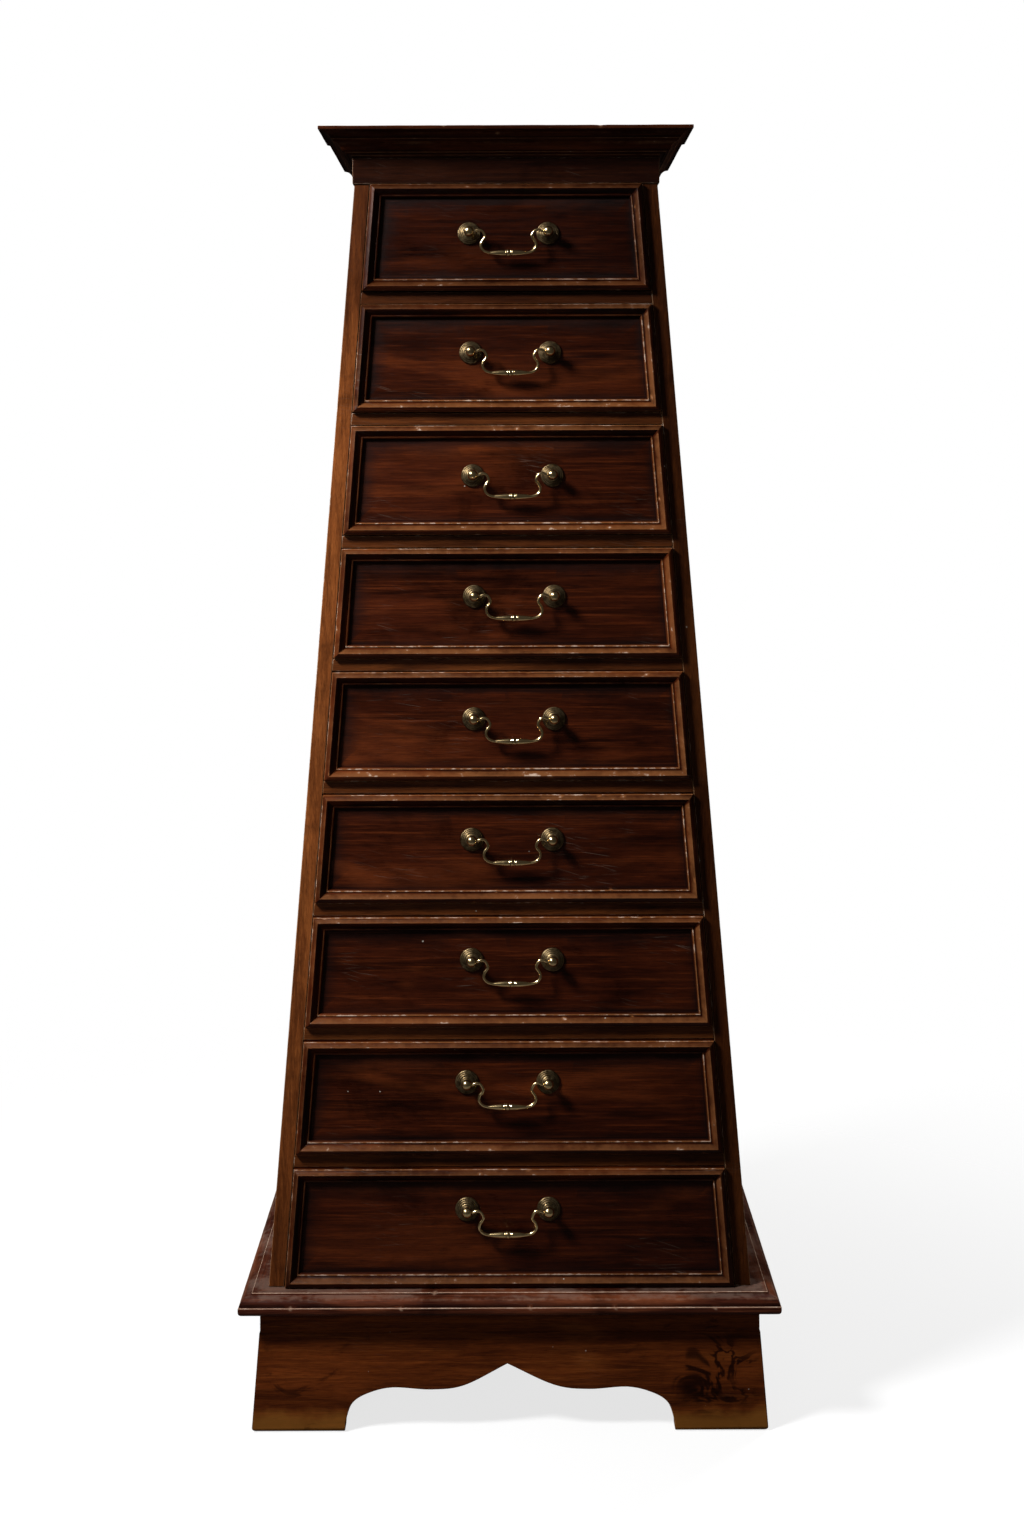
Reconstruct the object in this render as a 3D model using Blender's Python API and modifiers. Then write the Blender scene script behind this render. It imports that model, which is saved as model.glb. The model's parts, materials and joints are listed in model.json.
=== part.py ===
"""Pyramid chest of drawers: a case that tapers upward, nine drawers, brass bail handles."""
import math

import bmesh
import bpy
from mathutils import Matrix, Vector

# Metres. X runs left to right, the front faces -Y, Z is up and the floor is z = 0.
CHEST_NAME = "pyramid_chest"

# Fits
SEAT_GAP = 0.0003            # between fixed pieces that meet, and under a drawer box
FRONT_CLEARANCE = 0.001      # around each drawer front in its opening
BOX_SIDE_CLEARANCE = 0.0015  # beside each drawer box
BOX_TOP_CLEARANCE = 0.010    # drawer box below the board above it
BOX_BACK_CLEARANCE = 0.015   # behind each closed drawer box
CUT_PAST = 0.010             # cutters run on past the faces they open

# Case: its width and depth at the foot, and how far it narrows per metre of height
CASE_WIDTH = 0.525
CASE_DEPTH = 0.395
TAPER = 0.075
SIDE_THICKNESS = 0.017
BACK_THICKNESS = 0.008
DIVIDER_THICKNESS = 0.0132
HOUSING_DEPTH = 0.005        # groove in each side that carries a divider
HOUSING_STOP = 0.020         # groove starts this far behind the front edge

# Plinth: a vertical band over a skirt that flares to the floor
PLINTH_HEIGHT = 0.129
PLINTH_BAND = 0.025
PLINTH_PROUD = 0.0085        # band stands outside the foot of the case
PLINTH_STEP = 0.0008         # skirt stands outside the band
PLINTH_BOARD = 0.020
FOOT_WIDTH = 0.101
ARCH_PEAK = 0.071
ARCH_HUMP = 0.0463
ARCH_TROUGH = 0.044
FOOT_CURVE = 0.024           # run of the curve from a foot up to the arch

# Base board: square edge below, then ogee and fillet steps as (inward, upward)
BASE_OVERHANG = 0.030
BASE_NOSING = 0.0058
BASE_UNDERCUT = (0.0032, 0.0026)
BASE_OGEE = (
    (0.0010, 0.0014),
    (0.0022, 0.0008),
    (0.0030, 0.0018),
    (0.0030, 0.0029),
    (0.0022, 0.0025),
    (0.0020, 0.0010),
    (0.0004, 0.0023),
)

# Frieze and cornice above the case; cornice steps run down from the top, (inward, downward)
FRIEZE_HEIGHT = 0.029
FRIEZE_PROUD = 0.0022
CORNICE_FILLET = 0.0036
CORNICE_STEPS = (
    (0.0012, 0.0006),
    (0.0050, 0.0010),
    (0.0042, 0.0026),
    (0.0030, 0.0034),
    (0.0016, 0.0016),
    (0.0016, 0.0022),
    (0.0030, 0.0014),
    (0.0030, 0.0026),
    (0.0016, 0.0034),
    (0.0010, 0.0022),
    (0.0034, 0.0008),
    (0.0006, 0.0020),
    (0.0058, 0.0006),
    (0.0008, 0.0030),
)

# Drawers, listed from the top one down: a common height, and how much each hand-made front adds
FRONT_HEIGHT = 0.121
FRONT_EXTRAS = (0.0005, 0.0005, 0.0010, 0.0005, -0.0015, -0.0030, -0.0020, 0.0, 0.0045)
FRONT_THICKNESS = 0.018
BOX_WALL = 0.010
BOX_BOTTOM = 0.006
BOX_BOTTOM_RAISE = 0.006     # drawer bottom above the lower edge of its sides

# Moulding planted around each front: outer edge, then steps as (inward, outward)
MOULDING_EDGE = 0.0055
MOULDING_STEPS = (
    (0.0010, 0.0014),
    (0.0036, 0.0024),
    (0.0010, 0.0003),
    (0.0010, -0.0006),
    (0.0026, -0.0028),
    (0.0024, -0.0027),
    (0.0006, 0.0006),
    (0.0012, 0.0001),
    (0.0012, -0.0012),
    (0.0004, -0.0030),
)

# Handles: drop of each hinge line below its front's top edge, and shift to the right
HANDLE_DROPS = (0.0550, 0.0535, 0.0550, 0.0525, 0.0510, 0.0485, 0.0460, 0.0435, 0.0430)
HANDLE_SHIFTS = (0.0026, 0.0042, 0.0062, 0.0078, 0.0070, 0.0044, 0.0039, -0.0016, -0.0016)
POST_SPACING = 0.089
POST_REACH = 0.015           # hinge line in front of the drawer panel
POST_SEGMENTS = 10
ROSETTE_RADIUS = 0.013
ROSETTE_HEIGHT = 0.0036
NECK_RADIUS = 0.0030
BALL_RADIUS = 0.0052
SHANK_RADIUS = 0.0020
NUT_RADIUS = 0.0043
NUT_HEIGHT = 0.0032
EYE_CLEARANCE = 0.0004       # bail pin inside the hole in a ball
WIRE_RADIUS = 0.00165
GRIP_RADIUS = 0.0038
BAIL_DROP = 0.0244
PIN_DEPTH = 0.0036           # bail pin into each ball
BAIL_NECK = (                # swan neck: inward from the post, height as a share of the drop
    (0.0068, 0.0),
    (0.0115, 0.060),
    (0.0167, -0.060),
    (0.0183, -0.246),
    (0.0150, -0.448),
    (0.0135, -0.653),
    (0.0161, -0.858),
    (0.0226, -0.978),
)
GRIP_TURNING = ((0.62, 0.56), (0.20, 0.93), (0.10, 0.72), (0.0, 1.0))  # along the half grip, swelling

DRAWER_COUNT = len(FRONT_EXTRAS)
BASE_TOP = PLINTH_HEIGHT + SEAT_GAP + BASE_UNDERCUT[1] + BASE_NOSING + sum(s[1] for s in BASE_OGEE)
BACK_Y = (CASE_DEPTH + BASE_OVERHANG) / 2
CASE_BACK_Y = BACK_Y - BACK_THICKNESS - SEAT_GAP
FRONT_TILT = math.atan(TAPER)


def case_half_width(z):
    """Half the outer width of the case at height z."""
    return CASE_WIDTH / 2 - TAPER * (z - BASE_TOP)


def opening_half_width(z):
    """Half the width between the side boards at height z."""
    return case_half_width(z) - SIDE_THICKNESS


def face_y(z):
    """The front plane of the case at height z."""
    return BACK_Y - CASE_DEPTH + TAPER * (z - BASE_TOP)


def drawer_levels():
    """Floor, lower edge and upper edge of each front, from the top drawer down."""
    levels = []
    floor = BASE_TOP
    for extra in reversed(FRONT_EXTRAS):
        low = floor + FRONT_CLEARANCE
        high = low + FRONT_HEIGHT + extra
        levels.append((floor, low, high))
        floor = high + FRONT_CLEARANCE + DIVIDER_THICKNESS
    return levels[::-1]


LEVELS = drawer_levels()
CASE_TOP = LEVELS[0][2] + FRONT_CLEARANCE


def clear_scene():
    for item in list(bpy.data.objects):
        bpy.data.objects.remove(item, do_unlink=True)


def new_collection(name, hidden=False):
    collection = bpy.data.collections.new(name)
    bpy.context.scene.collection.children.link(collection)
    collection.hide_render = hidden
    return collection


def add_mesh(bm, name, collection, look=None):
    """Turn a bmesh into a linked object with its own material."""
    bmesh.ops.recalc_face_normals(bm, faces=bm.faces)
    mesh = bpy.data.meshes.new(name)
    bm.to_mesh(mesh)
    bm.free()
    item = bpy.data.objects.new(name, mesh)
    collection.objects.link(item)
    if look:
        mesh.materials.append(make_material(name, look))
    if collection.hide_render:
        item.hide_render = True
        item.display_type = "WIRE"
    return item


def make_material(name, look):
    colour, roughness, metallic = look
    material = bpy.data.materials.new(name)
    material.use_nodes = True
    shader = material.node_tree.nodes["Principled BSDF"]
    shader.inputs["Base Color"].default_value = (*colour, 1.0)
    shader.inputs["Roughness"].default_value = roughness
    shader.inputs["Metallic"].default_value = metallic
    return material


def set_origin(item, point):
    """Move an object's origin to a point without moving its shape."""
    item.data.transform(Matrix.Translation(-Vector(point)))
    item.location = point


def hang_on(item, parent):
    """Parent an object and keep its place."""
    item.location = Vector(item.location) - Vector(parent.location)
    item.parent = parent


def cut(item, cutter):
    modifier = item.modifiers.new("cut_" + cutter.name, "BOOLEAN")
    modifier.operation = "DIFFERENCE"
    modifier.solver = "EXACT"
    modifier.object = cutter


def rectangle(x_low, x_high, y_low, y_high):
    return [(x_low, y_low), (x_high, y_low), (x_high, y_high), (x_low, y_high)]


def loft_block(bm, outline, z_low, z_high):
    """Add a block whose plan is outline(z) at its foot and at its top."""
    foot = [bm.verts.new((x, y, z_low)) for x, y in outline(z_low)]
    lid = bmesh.ops.extrude_face_region(bm, geom=[bm.faces.new(foot)])
    top = [vert for vert in lid["geom"] if isinstance(vert, bmesh.types.BMVert)]
    starts = [vert.co.xy for vert in foot]
    for vert in top:
        nearest = min(range(len(starts)), key=lambda i: (starts[i] - vert.co.xy).length)
        vert.co = (*outline(z_high)[nearest], z_high)
    return top


def moulded_slab(half_width, depth, z_low, z_high, face_up, steps, undercut=None):
    """A board moulded on three edges: shaped on all four at twice its depth, then halved."""
    bm = bmesh.new()
    bmesh.ops.create_cube(bm, size=1.0)
    size = Vector((2 * half_width, 2 * depth, z_high - z_low))
    bmesh.ops.scale(bm, vec=size, verts=bm.verts)
    bmesh.ops.translate(bm, vec=(0, BACK_Y, (z_low + z_high) / 2), verts=bm.verts)
    ends = sorted(bm.faces, key=lambda face: face.calc_center_median().z)
    moulded, plain = (ends[-1], ends[0]) if face_up else (ends[0], ends[-1])
    for inward, rise in steps:
        bmesh.ops.inset_region(bm, faces=[moulded], thickness=inward, depth=rise, use_even_offset=True)
    if undercut:
        bmesh.ops.inset_region(
            bm, faces=[plain], thickness=undercut[0], depth=undercut[1], use_even_offset=True)
    whole = list(bm.verts) + list(bm.edges) + list(bm.faces)
    back = bmesh.ops.bisect_plane(
        bm, geom=whole, plane_co=(0, BACK_Y, 0), plane_no=(0, 1, 0), clear_outer=True)
    rim = [edge for edge in back["geom_cut"] if isinstance(edge, bmesh.types.BMEdge)]
    bmesh.ops.contextual_create(bm, geom=rim)
    return bm


def plinth_shell(bm, inset, low, high):
    """The plinth's outer form, or its hollow when inset by the board thickness."""
    half = CASE_WIDTH / 2 + PLINTH_PROUD - inset
    front = BACK_Y - CASE_DEPTH - PLINTH_PROUD + inset
    back = BACK_Y - inset
    band_low = PLINTH_HEIGHT - PLINTH_BAND
    step = PLINTH_STEP if inset == 0 else 0.0
    flare = step + TAPER * (band_low - low)
    plan = rectangle(-half - flare, half + flare, front - flare, back)
    floor = bm.faces.new([bm.verts.new((x, y, low)) for x, y in plan])
    lid = floor
    for out, level in [(step, band_low), (0.0, band_low + step), (0.0, high)][0 if step else 1:]:
        raised = bmesh.ops.extrude_face_region(bm, geom=[lid])["geom"]
        if lid is not floor:
            bm.faces.remove(lid)
        for vert in raised:
            if isinstance(vert, bmesh.types.BMVert):
                side = half + out if vert.co.x > 0 else -half - out
                edge = back if vert.co.y > 0 else front - out
                vert.co = (side, edge, level)
        lid = next(face for face in raised if isinstance(face, bmesh.types.BMFace))


def arch_curve(name, half_span, collection):
    """Bracket-foot opening in a skirt: ogee to a central peak, low hump, curve down to each foot."""
    below = -2 * CUT_PAST
    right = [
        (half_span, below),
        (half_span - 0.06 * FOOT_CURVE, 0.3 * ARCH_TROUGH),
        (half_span - 0.33 * FOOT_CURVE, 0.68 * ARCH_TROUGH),
        (half_span - FOOT_CURVE, 0.91 * ARCH_TROUGH),
        (0.72 * half_span, ARCH_HUMP),
        (0.475 * half_span, ARCH_TROUGH),
        (0.27 * half_span, ARCH_TROUGH + 0.17 * (ARCH_PEAK - ARCH_TROUGH)),
        (0.0, ARCH_PEAK),
    ]
    points = right + [(-x, z) for x, z in reversed(right[:-1])]
    curve = bpy.data.curves.new(name, "CURVE")
    curve.dimensions = "2D"
    curve.fill_mode = "BOTH"
    curve.extrude = PLINTH_BOARD * 2
    curve.resolution_u = 3
    curve.render_resolution_u = 3
    spline = curve.splines.new("BEZIER")
    spline.use_cyclic_u = True
    spline.bezier_points.add(len(points) - 1)
    corners = (0, len(right) - 1, len(points) - 1)
    for index, (x, z) in enumerate(points):
        point = spline.bezier_points[index]
        point.co = (x, z, 0.0)
        kind = "VECTOR" if index in corners else "AUTO"
        point.handle_left_type = kind
        point.handle_right_type = kind
    item = bpy.data.objects.new(name, curve)
    collection.objects.link(item)
    return item


def solid_from_curve(item, name, collection, weld=0.00002):
    """Make a mesh object from a curve, weld its caps and drop the curve."""
    bpy.context.view_layer.update()
    mesh = bpy.data.meshes.new_from_object(item.evaluated_get(bpy.context.evaluated_depsgraph_get()))
    bm = bmesh.new()
    bm.from_mesh(mesh)
    bmesh.ops.remove_doubles(bm, verts=bm.verts, dist=weld)
    bpy.data.objects.remove(item, do_unlink=True)
    bpy.data.meshes.remove(mesh)
    return add_mesh(bm, name, collection)


def build_plinth(parts, cutters):
    bm = bmesh.new()
    plinth_shell(bm, 0.0, 0.0, PLINTH_HEIGHT)
    plinth = add_mesh(bm, "plinth", parts, WOOD)
    bm = bmesh.new()
    plinth_shell(bm, PLINTH_BOARD, -CUT_PAST, PLINTH_HEIGHT + CUT_PAST)
    cut(plinth, add_mesh(bm, "plinth_hollow", cutters))

    flare = PLINTH_PROUD + PLINTH_STEP + TAPER * (PLINTH_HEIGHT - PLINTH_BAND)
    front_edge = BACK_Y - CASE_DEPTH - flare
    front_span = CASE_WIDTH / 2 + flare - FOOT_WIDTH
    side_span = (BACK_Y - front_edge) / 2 - FOOT_WIDTH
    side_middle = (BACK_Y + front_edge) / 2
    side_x = CASE_WIDTH / 2 + flare
    cuts = (
        ("arch_front", front_span, (0.0, front_edge, 0.0), 0.0),
        ("arch_left", side_span, (-side_x, side_middle, 0.0), math.radians(90)),
        ("arch_right", side_span, (side_x, side_middle, 0.0), math.radians(90)),
    )
    for name, span, place, turn in cuts:
        cutter = solid_from_curve(arch_curve(name, span, cutters), name, cutters)
        cutter.location = place
        cutter.rotation_euler = (math.radians(90), 0.0, turn)
        cut(plinth, cutter)
    bm = bmesh.new()
    loft_block(bm, lambda z: rectangle(
        -front_span, front_span, BACK_Y - 2 * PLINTH_BOARD, BACK_Y + CUT_PAST), -2 * CUT_PAST, ARCH_TROUGH)
    cut(plinth, add_mesh(bm, "back_gap", cutters))


def build_base_and_top(parts):
    base_low = PLINTH_HEIGHT + SEAT_GAP + BASE_UNDERCUT[1]
    bm = moulded_slab(CASE_WIDTH / 2 + BASE_OVERHANG, CASE_DEPTH + BASE_OVERHANG, base_low,
                      base_low + BASE_NOSING, True, BASE_OGEE, BASE_UNDERCUT)
    add_mesh(bm, "base_board", parts, WOOD)

    half = case_half_width(CASE_TOP) + FRIEZE_PROUD
    front = face_y(CASE_TOP) - FRIEZE_PROUD
    frieze_top = CASE_TOP + FRIEZE_HEIGHT
    bm = bmesh.new()
    loft_block(bm, lambda z: rectangle(-half, half, front, BACK_Y), CASE_TOP, frieze_top)
    add_mesh(bm, "frieze", parts, WOOD)

    overhang = sum(step[0] for step in CORNICE_STEPS)
    drop = sum(step[1] for step in CORNICE_STEPS)
    low = frieze_top + SEAT_GAP + drop
    bm = moulded_slab(half + overhang, BACK_Y - front + overhang, low, low + CORNICE_FILLET,
                      False, CORNICE_STEPS)
    add_mesh(bm, "cornice", parts, WOOD)


def divider_span(index):
    """Lower and upper face of the divider under drawer number index + 1."""
    high = LEVELS[index][0]
    return high - DIVIDER_THICKNESS, high


def divider_plan(z):
    """A divider: the front rail fits between the sides, its rear runs in their housings."""
    narrow = opening_half_width(z) - SEAT_GAP
    wide = opening_half_width(z) + HOUSING_DEPTH - SEAT_GAP
    front = face_y(z)
    stop = front + HOUSING_STOP + SEAT_GAP
    back = CASE_BACK_Y
    half = [(narrow, front), (narrow, stop), (wide, stop), (wide, back)]
    return [(-x, y) for x, y in reversed(half)] + half


def build_case(parts, cutters):
    low, high = BASE_TOP + SEAT_GAP, CASE_TOP - SEAT_GAP
    for name, sign in (("side_left", -1), ("side_right", 1)):
        bm = bmesh.new()
        loft_block(bm, lambda z: rectangle(
            sign * opening_half_width(z), sign * case_half_width(z), face_y(z), CASE_BACK_Y), low, high)
        side = add_mesh(bm, name, parts, WOOD)
        bm = bmesh.new()
        for index in range(DRAWER_COUNT - 1):
            foot, lid = divider_span(index)
            loft_block(bm, lambda z: rectangle(
                sign * (opening_half_width(z) - HOUSING_DEPTH),
                sign * (opening_half_width(z) + HOUSING_DEPTH),
                face_y(z) + HOUSING_STOP, CASE_BACK_Y + CUT_PAST), foot - SEAT_GAP, lid + SEAT_GAP)
        cut(side, add_mesh(bm, "housings_" + name, cutters))

    bm = bmesh.new()
    loft_block(bm, lambda z: rectangle(
        -case_half_width(z), case_half_width(z), BACK_Y - BACK_THICKNESS, BACK_Y), low, high)
    add_mesh(bm, "back_panel", parts, WOOD)

    for index in range(DRAWER_COUNT - 1):
        bm = bmesh.new()
        loft_block(bm, divider_plan, *divider_span(index))
        add_mesh(bm, "divider_{}".format(index + 1), parts, WOOD)


def build_front(name, low, high, hinge, parts, cutters):
    """Drawer front with its mitred moulding, drilled square to its face for two posts."""
    bm = bmesh.new()
    loft_block(bm, lambda z: rectangle(
        FRONT_CLEARANCE - opening_half_width(z), opening_half_width(z) - FRONT_CLEARANCE,
        -MOULDING_EDGE, FRONT_THICKNESS), low, high)
    bmesh.ops.recalc_face_normals(bm, faces=bm.faces)
    panel = min(bm.faces, key=lambda face: face.calc_center_median().y)
    for inward, rise in MOULDING_STEPS:
        bmesh.ops.inset_region(bm, faces=[panel], thickness=inward, depth=rise, use_even_offset=True)
    lean = Matrix.Identity(4)
    lean[1][2] = TAPER
    lean[1][3] = face_y(0.0)
    bmesh.ops.transform(bm, matrix=lean, verts=bm.verts)
    front = add_mesh(bm, name, parts, WOOD)

    bm = bmesh.new()
    for side in (-1, 1):
        bmesh.ops.create_cone(
            bm, cap_ends=True, segments=POST_SEGMENTS, radius1=SHANK_RADIUS + SEAT_GAP,
            radius2=SHANK_RADIUS + SEAT_GAP, depth=4 * FRONT_THICKNESS,
            matrix=Matrix.Translation((side * POST_SPACING / 2, 0.0, 0.0)))
    drill = add_mesh(bm, name + "_drill", cutters)
    drill.location = hinge
    drill.rotation_euler = (math.radians(90) - FRONT_TILT, 0.0, 0.0)
    cut(front, drill)
    return front


def build_box(name, floor, high, parts, cutters):
    """Drawer tray: two sides, a back and a raised bottom, open to the drawer front."""
    low = floor + SEAT_GAP
    top = high - BOX_TOP_CLEARANCE
    back = CASE_BACK_Y - BOX_BACK_CLEARANCE

    def plan(wall, front_run):
        return lambda z: rectangle(
            wall + BOX_SIDE_CLEARANCE - opening_half_width(z),
            opening_half_width(z) - BOX_SIDE_CLEARANCE - wall,
            face_y(z) + FRONT_THICKNESS + SEAT_GAP - front_run, back - wall)

    bm = bmesh.new()
    loft_block(bm, plan(0.0, 0.0), low, top)
    box = add_mesh(bm, name, parts, LINING)
    bm = bmesh.new()
    bottom = low + BOX_BOTTOM_RAISE
    loft_block(bm, plan(BOX_WALL, CUT_PAST), bottom + BOX_BOTTOM, top + CUT_PAST)
    loft_block(bm, plan(BOX_WALL, CUT_PAST), low - CUT_PAST, bottom)
    cut(box, add_mesh(bm, name + "_hollow", cutters))
    return box


def post_profile():
    """Half section of a post from its ball down to the end of its shank, z out of the panel."""
    ball = []
    for degrees in (90, 52, 12, -34):
        angle = math.radians(degrees)
        ball.append((BALL_RADIUS * math.cos(angle), POST_REACH + BALL_RADIUS * math.sin(angle)))
    ball[0] = (0.0, ball[0][1])
    seat = SEAT_GAP
    rise = ROSETTE_HEIGHT
    behind = -(FRONT_THICKNESS * math.cos(FRONT_TILT) + SEAT_GAP)
    return ball + [
        (NECK_RADIUS, POST_REACH - 1.3 * BALL_RADIUS),
        (0.44 * ROSETTE_RADIUS, seat + 1.3 * rise),
        (0.62 * ROSETTE_RADIUS, seat + 0.7 * rise),
        (0.82 * ROSETTE_RADIUS, seat + 0.75 * rise),
        (ROSETTE_RADIUS, seat + 0.3 * rise),
        (ROSETTE_RADIUS, seat),
        (SHANK_RADIUS, seat),
        (SHANK_RADIUS, behind - NUT_HEIGHT - SHANK_RADIUS),
        (0.0, behind - NUT_HEIGHT - SHANK_RADIUS),
    ]


def build_post_mesh(cutters):
    """Turned post with its nut behind the front and a blind hole for the bail in its ball."""
    bm = bmesh.new()
    path = [bm.verts.new((x, 0.0, z)) for x, z in post_profile()]
    for start, end in zip(path, path[1:]):
        bm.edges.new((start, end))
    post = add_mesh(bm, "post_blank", cutters)
    turn = post.modifiers.new("turn", "SCREW")
    turn.steps = POST_SEGMENTS
    turn.render_steps = POST_SEGMENTS
    turn.use_merge_vertices = True
    turn.merge_threshold = 0.00001

    behind = -(FRONT_THICKNESS * math.cos(FRONT_TILT) + SEAT_GAP)
    bm = bmesh.new()
    bmesh.ops.create_cone(
        bm, cap_ends=True, segments=6, radius1=NUT_RADIUS, radius2=NUT_RADIUS, depth=NUT_HEIGHT,
        matrix=Matrix.Translation((0.0, 0.0, behind - NUT_HEIGHT / 2)))
    nut = post.modifiers.new("nut", "BOOLEAN")
    nut.operation = "UNION"
    nut.solver = "EXACT"
    nut.object = add_mesh(bm, "post_nut", cutters)

    eye = WIRE_RADIUS + EYE_CLEARANCE
    bm = bmesh.new()
    bmesh.ops.create_cone(
        bm, cap_ends=True, segments=POST_SEGMENTS, radius1=eye, radius2=eye, depth=2 * BALL_RADIUS,
        matrix=Matrix.Translation((BALL_RADIUS, 0.0, POST_REACH)) @ Matrix.Rotation(math.radians(90), 4, "Y"))
    drill = add_mesh(bm, "post_eye", cutters)
    cut(post, drill)
    bpy.context.view_layer.update()
    mesh = bpy.data.meshes.new_from_object(post.evaluated_get(bpy.context.evaluated_depsgraph_get()))
    for item in (post, nut.object, drill):
        bpy.data.objects.remove(item, do_unlink=True)
    return mesh


def halve_spans(points):
    """Add a point on the smooth curve in the middle of each span but the first and last."""
    finer = points[:2]
    for before, start, end, after in zip(points, points[1:], points[2:], points[3:]):
        finer.append(tuple((9 * (s + e) - b - a) / 16 for b, s, e, a in zip(before, start, end, after)))
        finer.append(end)
    return finer + points[-1:]


def bail_points():
    """Centre line of the bail as (x, z, wire scale): pin, swan neck, then half of the grip."""
    post = POST_SPACING / 2
    neck = [(BALL_RADIUS - PIN_DEPTH, 0.0, 1.0)]
    for run, share in BAIL_NECK:
        neck.append((run, share * BAIL_DROP, 1.0))
    half = [(run - post, z, scale) for run, z, scale in halve_spans(neck)]
    swell = GRIP_RADIUS / WIRE_RADIUS - 1.0
    for share, scale in GRIP_TURNING:
        half.append((share * (BAIL_NECK[-1][0] - post), -BAIL_DROP, 1.0 + swell * scale))
    return half + [(-x, z, scale) for x, z, scale in reversed(half[:-1])]


def build_bail_mesh(collection):
    curve = bpy.data.curves.new("bail_line", "CURVE")
    curve.dimensions = "3D"
    curve.bevel_depth = WIRE_RADIUS
    curve.bevel_resolution = 2
    curve.use_fill_caps = True
    points = bail_points()
    spline = curve.splines.new("POLY")
    spline.points.add(len(points) - 1)
    for point, (x, z, scale) in zip(spline.points, points):
        point.co = (x, 0.0, z, 1.0)
        point.radius = scale
    line = bpy.data.objects.new("bail_line", curve)
    collection.objects.link(line)
    solid = solid_from_curve(line, "bail_blank", collection)
    mesh = solid.data
    bpy.data.objects.remove(solid, do_unlink=True)
    return mesh


def add_copy(mesh, name, collection, look):
    """A piece of hardware: its own copy of a shared shape, shaded smooth."""
    own = mesh.copy()
    own.name = name
    own.materials.clear()
    own.materials.append(make_material(name, look))
    own.shade_smooth()
    item = bpy.data.objects.new(name, own)
    collection.objects.link(item)
    return item


def build_drawers(parts, cutters):
    post_mesh = build_post_mesh(cutters)
    bail_mesh = build_bail_mesh(parts)
    outward = Vector((0.0, -math.cos(FRONT_TILT), math.sin(FRONT_TILT)))
    for index, (floor, low, high) in enumerate(LEVELS):
        name = "drawer_{}".format(index + 1)
        carrier = bpy.data.objects.new(name, None)
        carrier.location = (0.0, face_y(floor), floor)
        parts.objects.link(carrier)

        hinge_z = high - HANDLE_DROPS[index]
        foot_z = hinge_z - POST_REACH * math.sin(FRONT_TILT)
        foot = Vector((HANDLE_SHIFTS[index], face_y(foot_z), foot_z))
        hinge = foot + POST_REACH * outward

        pieces = [
            build_front(name + "_front", low, high, foot, parts, cutters),
            build_box(name + "_box", floor, high, parts, cutters),
        ]
        for piece in pieces:
            set_origin(piece, carrier.location)
            hang_on(piece, carrier)
        for side, turn in (("left", 0.0), ("right", math.pi)):
            post = add_copy(post_mesh, "{}_post_{}".format(name, side), parts, BRASS)
            reach = POST_SPACING / 2 * (1 if turn else -1)
            post.rotation_euler = (Matrix.Rotation(math.radians(90) - FRONT_TILT, 4, "X")
                                   @ Matrix.Rotation(turn, 4, "Z")).to_euler()
            post.location = foot + Vector((reach, 0.0, 0.0))
            hang_on(post, carrier)
        bail = add_copy(bail_mesh, name + "_bail", parts, BRASS)
        bail.location = hinge
        hang_on(bail, carrier)


# Looks as base colour, roughness, metallic
WOOD = ((0.060, 0.020, 0.010), 0.42, 0.0)
LINING = ((0.190, 0.085, 0.040), 0.70, 0.0)
BRASS = ((0.300, 0.190, 0.070), 0.45, 1.0)


def build():
    clear_scene()
    parts = new_collection(CHEST_NAME)
    cutters = new_collection("cutters", hidden=True)
    build_plinth(parts, cutters)
    build_base_and_top(parts)
    build_case(parts, cutters)
    build_drawers(parts, cutters)


build()
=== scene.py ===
import json
import math
import random

import bmesh
import bpy
from mathutils import Matrix, Vector, noise


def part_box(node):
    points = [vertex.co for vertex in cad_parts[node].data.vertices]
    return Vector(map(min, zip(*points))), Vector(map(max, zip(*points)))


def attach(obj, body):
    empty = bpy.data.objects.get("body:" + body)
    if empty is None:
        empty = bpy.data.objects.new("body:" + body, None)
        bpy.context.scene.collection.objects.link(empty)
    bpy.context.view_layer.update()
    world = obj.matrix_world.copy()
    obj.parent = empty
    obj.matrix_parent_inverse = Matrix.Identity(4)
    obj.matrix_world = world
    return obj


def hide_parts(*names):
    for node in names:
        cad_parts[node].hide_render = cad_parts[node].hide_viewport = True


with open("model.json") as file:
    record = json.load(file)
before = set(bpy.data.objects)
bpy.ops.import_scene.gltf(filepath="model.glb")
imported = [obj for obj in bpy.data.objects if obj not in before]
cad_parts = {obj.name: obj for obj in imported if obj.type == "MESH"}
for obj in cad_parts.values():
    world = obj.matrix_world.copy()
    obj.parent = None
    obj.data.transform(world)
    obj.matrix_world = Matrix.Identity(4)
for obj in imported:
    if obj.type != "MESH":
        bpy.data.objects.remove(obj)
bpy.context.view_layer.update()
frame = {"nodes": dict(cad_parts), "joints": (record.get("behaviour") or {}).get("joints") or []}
scene = bpy.context.scene
mm = 0.001

# lines of the case, read from the frame
drawerCount = sum(name.endswith("_front") for name in frame["nodes"])
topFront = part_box("drawer_1_front")
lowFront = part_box("drawer_{}_front".format(drawerCount))
taper = (lowFront[1].x - topFront[1].x) / (topFront[0].z - lowFront[0].z)
leanBack = math.atan(taper)
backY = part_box("back_panel")[1].y
hinges = {j["child"]: Vector(j["pos_m"]) for j in frame["joints"] if j["type"] == "hinge"}
print("frame loaded:", drawerCount, "drawers, taper", round(taper, 4))


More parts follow.
